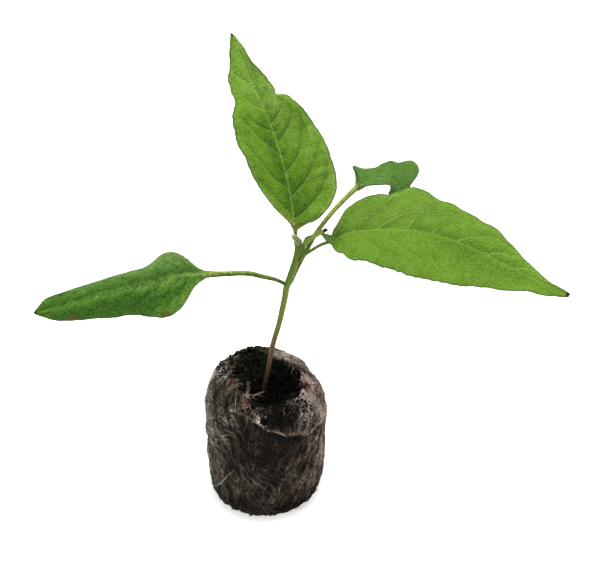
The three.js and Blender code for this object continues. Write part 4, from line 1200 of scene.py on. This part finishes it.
fleeceShape = {
    "columns": 360,
    "outerRows": 140,
    "innerRows": 24,
    "matting": 0.6,
    "sunk": 0.3,
    "headings": ((-1, 117), (1, 63)),  # how the fibres lean at the left and at the right, in degrees
    "hollowShade": 0.75,
    "frayedEdge": 0.9,
    "tatters": [(0.6, 1.6, 31), (0.4, 0.6, 32)],
    "sidePalenessAndSheen": 0.8,
    "foldBandAndShadow": (262, 352),
    "bottomShade": 0.85,
    # where the web is paler (above zero) or darker: clean and wet web, with painted highlights on the
    # shoulders and ridges and painted shade in front and in its holes; place, reach and amount
    "webToneAndLightPatches": [
        (17.2, -7.9, 38.0, 2.4, 1.7), (15.0, -8.5, 42.0, 2.0, 1.5), (18.6, -7.4, 33.8, 2.2, 0.7),
        (15.0, -3.0, 42.5, 7.0, 0.6), (9.0, 9.0, 44.6, 7.0, 0.6), (11.8, -13.6, 41.0, 4.5, 0.7),
        (-13.0, -5.0, 43.5, 5.0, -0.55), (-11.0, -12.5, 41.0, 6.0, -0.3),
        (11.4, -11.0, 43.6, 1.6, 0.5), (20.2, -0.8, 32.5, 4.0, 0.3), (-0.2, -17.7, 41.9, 1.5, 1.6),
        (-13.9, 5.8, 44.3, 0.9, 1.5), (0.8, -18.3, 41.3, 0.9, -5.0), (-6.6, -9.0, 45.3, 2.0, -0.6),
        (5.1, 9.9, 45.6, 2.2, 0.9),
        (10.7, 6.0, 45.4, 2.0, 0.8), (7.4, 8.4, 45.5, 1.5, 0.7), (-17.4, -8.0, 32.7, 6.0, 0.4),
        (-16.7, -6.9, 40.0, 5.0, 0.4), (-13.6, 1.5, 44.8, 3.0, 0.45), (-9.1, -11.3, 44.6, 3.5, 0.3),
        (0.8, -20.0, 29.6, 9.0, -0.45), (8.4, -18.3, 30.0, 5.0, -0.4), (10.0, -17.3, 33.4, 1.6, -0.8),
        (17.6, -11.1, 13.6, 6.0, 0.3), (18.0, -9.8, 25.6, 6.0, 0.35), (-6.0, 13.6, 44.1, 3.4, -2.2),
        (-10.0, 11.5, 44.0, 2.5, -1.4), (12.4, -7.8, 44.4, 1.2, 2.0), (15.1, -3.6, 44.0, 1.1, 1.8),
        (13.6, -2.4, 44.9, 1.0, 1.8), (12.9, -6.4, 44.6, 0.9, -4.0), (13.8, -4.8, 44.5, 1.0, -1.5),
        (6.0, -16.6, 41.4, 4.0, -0.9),
        (-12.9, 2.6, 45.2, 0.8, 1.4), (-14.0, 0.5, 44.8, 0.9, 1.4), (-12.0, -2.9, 45.5, 0.8, 1.2),
        (-14.2, -3.2, 44.6, 0.9, 1.2),
        (-6.7, -18.1, 34.0, 4.0, -0.3), (-12.6, -13.6, 37.0, 4.0, 0.2), (-7.6, -19.1, 8.3, 5.0, -0.3),
    ],
    # red-brown stains where the web is torn, and pits, in the same order
    "rust": [(13.4, -5.2, 44.6, 1.7, 1.2), (-9.6, -4.9, 45.9, 1.5, 0.7), (1.6, -15.4, 43.4, 1.0, 0.5),
             (10.0, 8.2, 44.9, 1.6, 0.4), (-4.9, -8.0, 43.0, 3.0, 0.35)],
    "pits": [(13.3, -5.5, 44.6, 1.1, 0.9), (0.8, -18.3, 41.3, 0.9, 1.2)],
    # hem of the flap that is folded in over the front left
    "hem": [(-9.7, -14.1, 42.3), (-8.3, -14.8, 42.4), (-7.1, -15.3, 42.3), (-5.9, -15.9, 42.3),
            (-4.7, -16.6, 42.1), (-3.4, -17.2, 41.6), (-2.3, -17.6, 41.1), (-1.0, -18.3, 41.0),
            (0.2, -18.8, 40.6), (1.7, -19.0, 40.4)],
    "hemHeight": 0.45,
    "hemPaleness": 1.3,
    "hemWidth": 0.5,
}

# the rolled edge, thicker in the places where the web has bunched up
rollShape = {
    "radius": 0.24,
    "bunched": [(12.4, -7.8, 44.4, 2.5, 0.35), (15.1, -3.4, 44.0, 2.0, 0.3),
                (-0.4, -16.9, 42.4, 3.0, 0.3), (7.4, 8.4, 45.5, 4.0, 0.15)],
    "sunk": 0.15,
    "wobble": 0.3,
    "sides": 10,
    "rings": 720,
}


def nearness(points, spots):
    # sum of soft round spots, each (x, y, z, reach, amount)
    total = np.zeros(np.shape(points)[:-1])
    for x, y, z, reach, amount in spots:
        away = ((np.asarray(points) - (x, y, z)) ** 2).sum(-1)
        total += amount * np.exp(-away / reach ** 2)
    return total


def onHem(points):
    # 1 on the hem, 0 away from it
    away = np.full(np.shape(points)[:-1], 50.0)
    for place in along(fleeceShape["hem"], np.linspace(0, 1, 40)):
        away = np.minimum(away, np.linalg.norm(points - place, axis=-1))
    return np.exp(-(away / fleeceShape["hemWidth"]) ** 2) * (0.7 + 0.5 * lumps(points, 1.2, 84))


def webTone(points):
    # how pale the web is: paler at the sides, partly cleaner web and partly painted sheen; painted shade in
    # front, low down and in the hollows of its matting; a pale band along the fold with painted shadow below
    # it; patches of clean and wet web, painted highlights and painted shade
    x, y, z = np.moveaxis(points, -1, 0)
    wound, above = foldPlace(np.arctan2(y, x), z)
    foldStart, foldEnd = fleeceShape["foldBandAndShadow"]
    onFold = smooth((wound - foldStart) / 15) * smooth((foldEnd - wound) / 15)
    above = above + 0.5 * lumps(points, 2.2, 83)
    # a pale band on the fold, and painted shadow just below it
    fold = onFold * (1.2 * np.exp(-((above - 0.7) / 0.7) ** 2) - 0.7 * np.exp(-((above + 1.2) / 0.9) ** 2))
    # paler at the sides, partly cleaner web and partly painted sheen
    tone = fleeceShape["sidePalenessAndSheen"] * (np.abs(x) / 20) ** 3
    # painted shade low down
    tone = tone - fleeceShape["bottomShade"] * smooth((10 - z) / 9)
    # patches of clean and wet web, with painted highlights and painted shade among them
    tone = tone + 0.15 * smooth(y / 15) + fold + nearness(points, fleeceShape["webToneAndLightPatches"])
    tone = tone + fleeceShape["hemPaleness"] * onHem(points)
    # painted shade in the hollows of the matting
    return tone + 0.22 * lumps(points, 4.0, 81) + fleeceShape["hollowShade"] * (matted(points) - 0.1)


def webMarks(points):
    return {"tone": webTone(points), "rust": np.clip(nearness(points, fleeceShape["rust"]), 0, 1)}


def streaks(points, size, seed):
    # noise drawn out along the fibres, which lean one way at the left and the other way at the right
    x, y, z = np.moveaxis(points, -1, 0)
    up = z + 20 - np.hypot(x, y)
    total = 0
    for side, heading in fleeceShape["headings"]:
        around = 20 * np.arctan2(side * y, side * x)
        c, s = math.cos(math.radians(heading)), math.sin(math.radians(heading))
        drawn = np.stack([(around * c + up * s) / 4, up * c - around * s, up * 0], -1)
        total = total + smooth(0.5 + side * x / 16) * lumps(drawn, size, seed)
    return total


def matted(points):
    # lumps, strands and hollows of the felted web, from about -1 to 1
    middle = 1 - 2 * np.abs(lumps(points, 1.9, 22))
    fine = 1 - 2 * np.abs(lumps(points, 0.9, 23))
    return (0.35 * lumps(points, 4.0, 21) + 0.35 * middle + 0.3 * fine
            + 0.55 * streaks(points, 1.3, 24) + 0.35 * streaks(points, 0.6, 25))


def fleeceRelief(points):
    # sunk a little, since the loose fibres lie on it and fill the shape out
    relief = fleeceShape["matting"] * matted(points) - fleeceShape["sunk"]
    return relief - nearness(points, fleeceShape["pits"]) + fleeceShape["hemHeight"] * onHem(points)


def frayedRadius(angle):
    # torn edge with its tatters, which die away where the ring of points closes
    line = np.stack([angle * 12, angle * 0, angle * 0], -1)
    fray = fleeceShape["frayedEdge"] * layeredLumps(line, fleeceShape["tatters"])
    return tornRadius(angle) + fray * smooth(np.minimum(angle, 2 * np.pi - angle) / 0.2)


def webColour(tree, tone, position):
    # wet brown-black to clean grey, with the painted light and shade of the tone, a little greener at the
    # left and pinker at the right
    colour = addNode(tree, "ValToRGB", {"Fac": tone}, ramp=[
        (0.0, "#050403"), (0.25, "#14110d"), (0.45, "#2c2721"), (0.65, "#5d544a"), (0.82, "#a09a93"),
        (1.0, "#e4dfda"),
    ])
    side = addNode(tree, "SeparateXYZ", {"Vector": position}).outputs["X"]
    side = addNode(tree, "MapRange", {"Value": side, "From Min": -0.015, "From Max": 0.012})
    cast = addNode(tree, "ValToRGB", {"Fac": side},
                   ramp=[(0.0, "#f2f2e2"), (0.5, "#f8eee0"), (1.0, "#fdece2")])
    colour = addNode(tree, "Mix", {0: 1.0, 6: colour, 7: cast}, data_type="RGBA", blend_type="MULTIPLY")
    rust = addNode(tree, "Attribute", attribute_name="rust").outputs["Fac"]
    warm = addNode(tree, "ValToRGB", {"Fac": tone},
                   ramp=[(0.0, "#0c0402"), (0.5, "#6a3a26"), (1.0, "#d2a48c")])
    return addNode(tree, "Mix", {0: rust, 6: colour, 7: warm}, data_type="RGBA")


def fleeceMaterial():
    # nonwoven plant-pot fleece, matted by wet peat that shows dark through the thin web
    material, tree, shader = startMaterial("mattedNonwovenFleece")
    position = addNode(tree, "NewGeometry").outputs["Position"]
    base = addNode(tree, "Attribute", attribute_name="tone").outputs["Fac"]
    warp = addNode(tree, "TexNoise", {"Vector": position, "Scale": 1000 / 4.0, "Detail": 2.0})
    bend = addNode(tree, "VectorMath", {0: warp.outputs["Color"], 1: (0.004, 0.004, 0.004), 2: position},
                   operation="MULTIPLY_ADD")
    # fibre bundles of about 0.25 mm, drawn coarser than the real 0.03 mm fibres so that they show
    bundle = addNode(tree, "TexWave", {
        "Vector": bend, "Scale": 1000 / 5.0, "Distortion": 12.0, "Detail": 3.0, "Detail Scale": 1.6,
    }, wave_type="BANDS", bands_direction="DIAGONAL")
    web = addNode(tree, "TexNoise", {"Vector": bend, "Scale": 1000 / 0.8, "Detail": 5.0, "Roughness": 0.7})
    # gaps in the web, some 0.7 mm apart, through which the peat shows
    gaps = addNode(tree, "TexVoronoi", {"Vector": bend, "Scale": 1000 / 0.75})
    tone = addNode(tree, "MapRange", {
        "Value": gaps, "From Min": 0.1, "From Max": 0.5, "To Min": -0.3, "To Max": 0.05,
    })
    for source, amount in ((base, 0.42), (bundle.outputs["Fac"], 0.16), (web, 0.9)):
        tone = addNode(tree, "Math", {0: source, 1: amount, 2: tone}, operation="MULTIPLY_ADD")
    tone = addNode(tree, "Math", {0: tone, 1: 0.12}, operation="SUBTRACT")
    bump = addNode(tree, "Bump", {"Height": tone, "Strength": 1.0, "Distance": 0.0006})
    setSockets(shader, {
        "Base Color": webColour(tree, tone, position), "Roughness": 0.95, "IOR": 1.5,
        "Normal": bump, "Specular IOR Level": 0.2,
    })
    return material


def fleecePiece():
    angle = ringAngles(fleeceShape["columns"])
    end = shoulderAt(frayedRadius(angle))
    thickness = plug["fleeceThickness"]
    outer, out = onWrap(angle, np.linspace(0, 1, fleeceShape["outerRows"])[:, None] * end)
    settle = smooth(outer[..., 2] / 1.2)
    outer = outer + out * (fleeceRelief(outer) * settle)[..., None]
    outer[0, :, 2] = 0
    inner = wrapPoint(angle, np.linspace(1, 0, fleeceShape["innerRows"])[:, None] * end, thickness)
    inner[-1, :, 2] = thickness
    body = closedBody(np.concatenate([outer, inner]), [[0, 0, 0], [0, 0, thickness]])
    addPiece("fleeceWrap", body, fleeceWeb, fleecePart, webMarks(body[0]))


def rolledEdge():
    # the torn edge, rolled over on itself
    angle = np.radians(np.arange(0, 361, 3.0))
    path = wrapPoint(angle, shoulderAt(frayedRadius(angle % (2 * np.pi))), rollShape["sunk"])
    thick = rollShape["radius"] * (1 + 0.5 * lumps(path, 1.5, 33)) + nearness(path, rollShape["bunched"])
    body = tubeParts(path, thick, rollShape["sides"], rollShape["rings"], rollShape["wobble"])
    addPiece("rolledFleeceEdge", body, fleeceWeb, fleecePart, webMarks(body[0]))


fleeceWeb = fleeceMaterial()
fleecePiece()
rolledEdge()
print("fleece ready")


# Loose fibres matted over the wrap: short curled ones, longer combed ones, and the fringe of the torn edge

fibreSets = {
    "fibresMatted": {"count": 4400, "length": (1.8, 5.5), "radius": (0.05, 0.12), "lift": (-0.08, 0.14),
                     "seed": 5, "curl": 15, "stray": 38, "steps": 7, "tint": (-0.8, 0.6)},
    "fibresCombed": {"count": 2100, "length": (5, 15), "radius": (0.04, 0.10), "lift": (0.0, 0.22),
                     "seed": 6, "curl": 5, "stray": 16, "steps": 9, "tint": (-0.5, 0.7), "toSides": 0.42},
    "fibresBundled": {"count": 1900, "length": (3, 9), "radius": (0.08, 0.20), "lift": (-0.05, 0.22),
                      "seed": 9, "curl": 8, "stray": 24, "steps": 8, "tint": (-0.3, 0.75)},
    "fibresLoose": {"count": 170, "length": (3, 8), "radius": (0.03, 0.06), "lift": (0.1, 0.3),
                    "seed": 7, "curl": 16, "stray": 70, "steps": 9, "tint": (0.0, 0.5), "bow": 1.1},
}
fibreLay = {"highest": 55, "lowest": 0.6, "lean": 30, "swirl": 0.7, "swirlSize": 7.0, "aboveFloor": 0.2,
            "reliefShare": 0.9, "toneShare": 0.65, "taper": 0.4, "bow": 0.3, "swirlSeed": 40}
# the one long pale fibre, low on the left: angles round the wrap and lengths up its side
longFibre = {"course": [(243, 22.6), (238, 20.4), (231, 16.4), (226, 13.4), (220, 10.4), (213, 7.8)],
             "steps": 30, "lift": 0.4, "radius": 0.19, "tint": 0.9}
fringe = {"count": 620, "length": (0.8, 3.4), "radius": (0.03, 0.07), "tint": (0.1, 1.1), "seed": 8,
          "steps": 6, "inward": (-0.4, 1), "aside": 0.8, "upward": 0.25, "bend": 0.5, "droop": 0.25,
          "scatter": 0.15, "sunk": 0.1}


def fibreMaterial():
    # single fibres and bundles of the fleece: dull, each a little lighter or darker
    material, tree, shader = startMaterial("looseFleeceFibre")
    place = addNode(tree, "NewGeometry").outputs["Position"]
    base = addNode(tree, "Attribute", attribute_name="tone").outputs["Fac"]
    tone = addNode(tree, "Math", {0: base, 1: 0.42, 2: 0.46}, operation="MULTIPLY_ADD")
    setSockets(shader, {
        "Base Color": webColour(tree, tone, place), "Roughness": 0.8, "IOR": 1.5, "Specular IOR Level": 0.2,
    })
    return material


def addStrands(name, at, normal, radius, tint):
    # thin closed three-sided strands through rows of points, at[strand, step]
    count, steps, _ = at.shape
    tangent = unit(np.gradient(at, axis=1))
    across = unit(np.cross(tangent, normal))
    r = radius[:, None] * (np.sin(np.linspace(0.12, np.pi - 0.12, steps)) ** fibreLay["taper"])[None]
    angle = ringAngles(3)
    rings = ringsRound(at, r[..., None], across, np.cross(across, tangent), np.cos(angle), np.sin(angle))
    first = np.arange(count) * steps * 3
    last = first + (steps - 1) * 3
    quads = (ringFaces(steps, 3) + first[:, None, None]).reshape(-1, 4)
    ends = [np.stack([first + 2, first + 1, first], -1), np.stack([last, last + 1, last + 2], -1)]
    marks = {key: np.repeat(value.ravel(), 3) for key, value in webMarks(at).items()}
    # the fibres carry the web's tone, with its painted light and shade
    marks["tone"] = fibreLay["toneShare"] * marks["tone"] + np.repeat(tint, steps * 3)
    addPiece(name, (rings.reshape(-1, 3), [quads, *ends]), fibreCoat, fleecePart, marks)


def layFibres(name, spec):
    draw = np.random.default_rng(spec["seed"])
    count, steps = spec["count"], spec["steps"]
    angle = draw.uniform(0, 2 * np.pi, count)
    angle = angle - spec.get("toSides", 0) * np.sin(2 * angle)
    h = draw.uniform(0, 1, count) * fibreLay["highest"]
    # the web was pulled down and round to the front, so its fibres lean one way on each side
    heading = draw.normal(0, math.radians(spec["stray"]), count)
    heading = heading + math.radians(90) - math.radians(fibreLay["lean"]) * np.cos(angle)
    turn = draw.normal(0, math.radians(spec["curl"]), count)
    length = draw.uniform(*spec["length"], count)
    lift = draw.uniform(*spec["lift"], count)
    bow = draw.uniform(0, spec.get("bow", fibreLay["bow"]), count) ** 2
    rows = []
    for step in range(steps):
        limit = np.interp(shoulderAt(tornRadius(angle) + 0.2), wrapFractions, wrapWalk)
        if step == 0:
            h = np.where(h > limit, h - limit, h)
        h = np.clip(h, fibreLay["lowest"], limit)
        p, n = onWrap(angle, np.interp(h, wrapWalk, wrapFractions))
        arch = bow * np.sin(np.pi * step / (steps - 1))
        rows.append((p + n * (lift + arch + fleeceRelief(p) * fibreLay["reliefShare"])[:, None], n))
        r = np.maximum(np.hypot(p[:, 0], p[:, 1]), 4)
        swirl = heading + fibreLay["swirl"] * lumps(p, fibreLay["swirlSize"], fibreLay["swirlSeed"])
        advance = length / (steps - 1)
        angle = angle + np.cos(swirl) * advance / r
        h = h + np.sin(swirl) * advance
        heading = heading + turn
    at, normal = (np.stack(part, 1) for part in zip(*rows))
    at[..., 2] = np.maximum(at[..., 2], fibreLay["aboveFloor"])
    radius = draw.uniform(*spec["radius"], count)
    addStrands(name, at, normal, radius, draw.uniform(*spec["tint"], count))


def layLongFibre(spec):
    degrees, h = along(spec["course"], np.linspace(0, 1, spec["steps"])).T
    p, n = onWrap(np.radians(degrees), np.interp(h, wrapWalk, wrapFractions))
    at = p + n * (spec["lift"] + fleeceRelief(p) * fibreLay["reliefShare"])[:, None]
    addStrands("fibreLong", at[None], n[None], np.array([spec["radius"]]), np.array([spec["tint"]]))


def layFringe(spec):
    # short ends that stick out of the torn edge and droop into the opening
    draw = np.random.default_rng(spec["seed"])
    count, steps = spec["count"], spec["steps"]
    angle = draw.uniform(0.2, 2 * np.pi - 0.2, count)
    start = wrapPoint(angle, shoulderAt(frayedRadius(angle)), spec["sunk"])
    inward = np.stack([-np.cos(angle), -np.sin(angle), 0 * angle], -1)
    aside = np.stack([-np.sin(angle), np.cos(angle), 0 * angle], -1)
    way = inward * draw.uniform(*spec["inward"], (count, 1))
    way = way + aside * draw.normal(0, spec["aside"], (count, 1))
    way = unit(way + draw.normal(0, spec["scatter"], (count, 3)) + (0, 0, spec["upward"]))
    side = draw.normal(0, spec["bend"], (count, 1)) * aside
    length = draw.uniform(*spec["length"], (count, 1)) * (0.55 + 0.45 * draw.uniform(0, 1, (count, 1)))
    s = np.linspace(-0.1, 1, steps)
    at = start[:, None] + length[:, None] * (way[:, None] * s[:, None] + side[:, None] * s[:, None] ** 2)
    at[..., 2] -= spec["droop"] * length * s ** 2
    normal = np.broadcast_to((0.1, 0.2, 1.0), at.shape)
    radius = draw.uniform(*spec["radius"], count)
    addStrands("tornEdgeFringe", at, normal, radius, draw.uniform(*spec["tint"], count))


fibreCoat = fibreMaterial()
for name, spec in fibreSets.items():
    layFibres(name, spec)
layLongFibre(longFibre)
layFringe(fringe)
print("fibres ready")


# Peat and its crumbs

peatShape = {
    "columns": 200,
    "sideRows": 30,
    "topRings": 66,
    "lumps": [(0.4, 1.6, 51), (0.3, 0.8, 52)],
    "crumbCount": 2300,
    "crumbSize": (0.25, 1.15),
    "crumbReach": (0.004, 0.93),
    "crumbInset": 0.9,  # kept clear of the torn edge
    "crumbPower": 2.5,  # the higher, the fewer large ones
    "crumbSeeds": (61, 62),  # for places and sizes, and for shapes
    # smaller crumbs where the rootlet and the torn strip lie: x, y, reaches, smallest share
    "crumbsThin": [(-1.8, -2.9, 2.6, 2.4, 0.25), (-5.0, -2.0, 1.7, 5.0, 0.3)],
    "grainCount": 1900,
    "grainSize": (0.12, 0.42),
    "grainPower": 2.0,
    "grainSeeds": (63, 64),
    # peat spilled over the rim: middle angle, spread, count, reach beyond the torn edge, largest size
    "spilled": [(113, 13, 420, 2.2, 0.75), (292, 13, 420, 2.6, 0.6), (318, 11, 330, 6.0, 0.42),
                (165, 16, 260, 4.0, 0.6)],
    "spilledSmallest": 0.2,
    "spilledPower": 1.6,
    "looseCrumb": (152, 15.8, 0.8),  # angle, radius and size
    "aboveFloor": 0.5,
}


def peatMaterial():
    # wet sphagnum peat: near-black, greenish where it is damp, with brown bits of moss and bark; the raised
    # tops of its crumbs are paler, partly painted sheen
    material, tree, shader = startMaterial("moistCrumblyPeat")
    position = addNode(tree, "NewGeometry").outputs["Position"]
    crumb = addNode(tree, "TexNoise", {
        "Vector": position, "Scale": 1000 / 1.2, "Detail": 6.0, "Roughness": 0.7,
    })
    patch = addNode(tree, "TexNoise", {"Vector": position, "Scale": 1000 / 5.0, "Detail": 2.0})
    # the peat is lighter towards the back of the hollow
    back = addNode(tree, "SeparateXYZ", {"Vector": position}).outputs["Y"]
    backLighter = addNode(tree, "MapRange", {
        "Value": back, "From Min": -0.004, "From Max": 0.008, "To Min": -0.07, "To Max": 0.1,
    })
    tone = addNode(tree, "Math", {0: crumb, 1: backLighter})
    # the crumb noise also raises the bumps, so their paler greenish-grey tops are partly painted sheen
    dark = addNode(tree, "ValToRGB", {"Fac": tone},
                   ramp=[(0.38, "#010200"), (0.54, "#0e130a"), (0.7, "#363e2c")])
    brown = addNode(tree, "ValToRGB", {"Fac": tone},
                    ramp=[(0.4, "#020101"), (0.6, "#100c08"), (0.8, "#3a2c22")])
    where = addNode(tree, "MapRange", {"Value": patch, "From Min": 0.46, "From Max": 0.6})
    colour = addNode(tree, "Mix", {0: where, 6: dark, 7: brown}, data_type="RGBA")
    bump = addNode(tree, "Bump", {"Height": crumb, "Strength": 1.0, "Distance": 0.0005})
    setSockets(shader, {
        "Base Color": colour, "Roughness": 0.6, "IOR": 1.35, "Normal": bump, "Specular IOR Level": 0.15,
    })
    return material


def peatTop(x, y):
    # crumbled top of the peat
    place = np.stack([x, y, x * 0], -1)
    return peatHeight(x, y) + layeredLumps(place, peatShape["lumps"])


def peatPiece():
    angle = ringAngles(peatShape["columns"])
    depth = plug["fleeceThickness"] + plug["clearance"]
    torn = tornRadius(angle)
    end = shoulderAt(torn)
    side = wrapPoint(angle, np.linspace(0, 1, peatShape["sideRows"])[:, None] * end, depth)
    side[0, :, 2] = depth
    f = 1 - np.arange(peatShape["topRings"])[:, None] / peatShape["topRings"]
    footX, footY = plug["stemFoot"]
    rim = torn - plug["rimInset"]
    x = footX + (rim * np.cos(angle) - footX) * f
    y = footY + (rim * np.sin(angle) - footY) * f
    below = wrapPoint(angle, end, depth)[:, 2] - 0.1
    z = np.minimum(peatTop(x, y), below[None] + 0.4 * smooth((1 - f) * 6))
    ends = [[0, 0, depth], [footX, footY, plug["hollowFloor"] - 0.3]]
    body = closedBody(np.concatenate([side, np.stack([x, y, z], -1)]), ends)
    addPiece("peat", body, peatSoil, peatPart)


def addCrumbs(name, places, sizes, seed):
    # each crumb is a knocked-about twenty-faced lump
    draw = np.random.default_rng(seed)
    g = (1 + 5 ** 0.5) / 2
    ball = np.array([(-1, g, 0), (1, g, 0), (-1, -g, 0), (1, -g, 0), (0, -1, g), (0, 1, g),
                     (0, -1, -g), (0, 1, -g), (g, 0, -1), (g, 0, 1), (-g, 0, -1), (-g, 0, 1)])
    ball = ball / math.hypot(1, g)
    faces = np.array([
        (0, 11, 5), (0, 5, 1), (0, 1, 7), (0, 7, 10), (0, 10, 11), (1, 5, 9), (5, 11, 4), (11, 10, 2),
        (10, 7, 6), (7, 1, 8), (3, 9, 4), (3, 4, 2), (3, 2, 6), (3, 6, 8), (3, 8, 9), (4, 9, 5),
        (2, 4, 11), (6, 2, 10), (8, 6, 7), (9, 8, 1),
    ])
    count = len(places)
    stretch = draw.uniform(0.55, 1.0, (count, 1, 3))
    knock = draw.uniform(0.75, 1.2, (count, 12, 1))
    turn = np.linalg.qr(draw.normal(size=(count, 3, 3)))[0]
    shape = np.einsum("nij,nkj->nki", turn, ball[None] * knock * stretch)
    points = places[:, None] + shape * sizes[:, None, None]
    allFaces = (faces[None] + 12 * np.arange(count)[:, None, None]).reshape(-1, 3)
    addPiece(name, (points.reshape(-1, 3), [allFaces]), peatSoil, peatPart, smoothShading=False)


def sizesFrom(draw, smallest, largest, power, count):
    return smallest + (largest - smallest) * draw.uniform(0, 1, count) ** power


def layCrumbs():
    placeSeed, shapeSeed = peatShape["crumbSeeds"]
    draw = np.random.default_rng(placeSeed)
    count = peatShape["crumbCount"]
    angle = draw.uniform(0, 2 * np.pi, count)
    edge = tornRadius(angle) - peatShape["crumbInset"]
    reach = np.sqrt(draw.uniform(*peatShape["crumbReach"], count)) * edge
    x = reach * np.cos(angle)
    y = reach * np.sin(angle)
    sizes = sizesFrom(draw, *peatShape["crumbSize"], peatShape["crumbPower"], count)
    for middleX, middleY, reachX, reachY, share in peatShape["crumbsThin"]:
        away = np.hypot((x - middleX) / reachX, (y - middleY) / reachY)
        sizes = sizes * (share + (1 - share) * smooth(away - 0.4))
    places = np.stack([x, y, peatTop(x, y) + 0.3 * sizes], -1)
    addCrumbs("peatCrumbs", places, sizes, shapeSeed)


def layGrains():
    # grains of peat stuck in the web, most of them on the upper half, and peat spilled over the rim
    placeSeed, shapeSeed = peatShape["grainSeeds"]
    draw = np.random.default_rng(placeSeed)
    count = peatShape["grainCount"]
    angle = draw.uniform(0, 2 * np.pi, count)
    t = 1 - draw.uniform(0, 1, count) ** 1.4
    stuck, out = onWrap(angle, t * shoulderAt(tornRadius(angle) + 0.4))
    grainSizes = sizesFrom(draw, *peatShape["grainSize"], peatShape["grainPower"], count)
    stuck = stuck + out * (fleeceRelief(stuck) + 0.35 * grainSizes)[:, None]
    spills = peatShape["spilled"]
    angle = np.radians(np.concatenate([draw.normal(*spill[:3]) for spill in spills]))
    beyond = np.concatenate([draw.uniform(-1.0, spill[3], spill[2]) for spill in spills])
    spilled, out = onWrap(angle, shoulderAt(tornRadius(angle) + beyond))
    largest = np.concatenate([np.full(spill[2], spill[4]) for spill in spills])
    spilledSizes = sizesFrom(draw, peatShape["spilledSmallest"], largest, peatShape["spilledPower"],
                             len(angle))
    spilled = spilled + out * (fleeceRelief(spilled) + 0.3 * spilledSizes)[:, None]
    crumbDegrees, crumbRadius, crumbSize = peatShape["looseCrumb"]
    crumb = wrapPoint(np.radians([crumbDegrees]), shoulderAt(crumbRadius), -0.5)
    places = np.concatenate([stuck, spilled, crumb])
    places[:, 2] = np.maximum(places[:, 2], peatShape["aboveFloor"])
    sizes = np.concatenate([grainSizes, spilledSizes, [crumbSize]])
    addCrumbs("peatGrainsOnWrap", places, sizes, shapeSeed)


peatSoil = peatMaterial()
peatPiece()
layCrumbs()
layGrains()
print("peat ready")


# A torn strip of fleece that hangs from the front of the opening over the peat

stripShape = {
    "path": [
        (-5.2, -15.4, 43.6), (-5.0, -13.6, 44.9), (-4.9, -11.0, 44.7), (-5.0, -8.0, 43.4), (-5.1, -4.5, 41.5),
        (-5.1, -1.2, 39.8), (-4.9, 1.2, 39.0),
    ],
    "width": [1.9, 1.7, 1.6, 1.7, 1.8, 1.6, 1.3],
    "thickness": 0.25,
    "above": 0.5,
    "wobble": 0.18,
    "sway": 0.25,
    "curl": 0.12,
    "toneShare": 0.3,
    "tone": 0.32,
    "rust": 0.3,
    "rows": 90,
    "columns": 14,
}


def tornStrip():
    s = np.linspace(0, 1, stripShape["rows"])
    middle = along(stripShape["path"], s)
    middle[:, 0] += stripShape["sway"] * lumps(np.stack([s * 9, s * 0, s * 0], -1), 1.0, 90)
    z = np.maximum(peatTop(middle[:, 0], middle[:, 1]) + stripShape["above"], middle[:, 2])
    angle = ringAngles(stripShape["columns"])
    half = along(stripShape["width"], s)[:, None] / 2
    curl = stripShape["curl"] * np.cos(2 * angle + 9 * s[:, None])
    rings = np.stack([
        middle[:, :1] + half * np.cos(angle), middle[:, 1:2] + 0 * angle,
        z[:, None] + stripShape["thickness"] * np.sin(angle) + curl,
    ], -1)
    body = closedBody(wobbled(rings, stripShape["wobble"], 0.9, 93))
    marks = webMarks(body[0])
    marks["tone"] = marks["tone"] * stripShape["toneShare"] + stripShape["tone"]
    marks["rust"] = stripShape["rust"] + 0 * marks["rust"]
    addPiece("tornFleeceStrip", body, fleeceWeb, fleecePart, marks)


tornStrip()


# The pale rootlet that has come up beside the stem and lies on the peat

surfaceRoot = {
    "start": (0.2, -0.2, 37.6),
    "path": [(-0.4, -1.4), (-0.9, -2.0), (-1.7, -2.25), (-3.0, -2.9), (-3.45, -3.6), (-3.5, -4.9)],
    "radius": [0.26, 0.22, 0.22, 0.21, 0.2, 0.16],
    "above": 0.55,
    "sides": 12,
    "rings": 40,
    "wobble": 0.06,
}
rootPath = [surfaceRoot["start"]]
for x, y in surfaceRoot["path"]:
    rootPath.append((x, y, float(peatTop(np.array(x), np.array(y))) + surfaceRoot["above"]))
rootlet = tubeParts(rootPath, surfaceRoot["radius"], surfaceRoot["sides"], surfaceRoot["rings"],
                    surfaceRoot["wobble"])
addPiece("surfaceRootlet", rootlet, rootSkin, plantPart)
print("torn strip and rootlet ready")

bpy.context.view_layer.update()
total = 0
for piece in bpy.data.objects:
    if piece.type == "MESH" and not piece.hide_render and piece != floor:
        triangles = sum(len(p.vertices) - 2 for p in piece.data.polygons)
        total += triangles
        print("triangles", piece.name, triangles)
print("triangles in all", total)
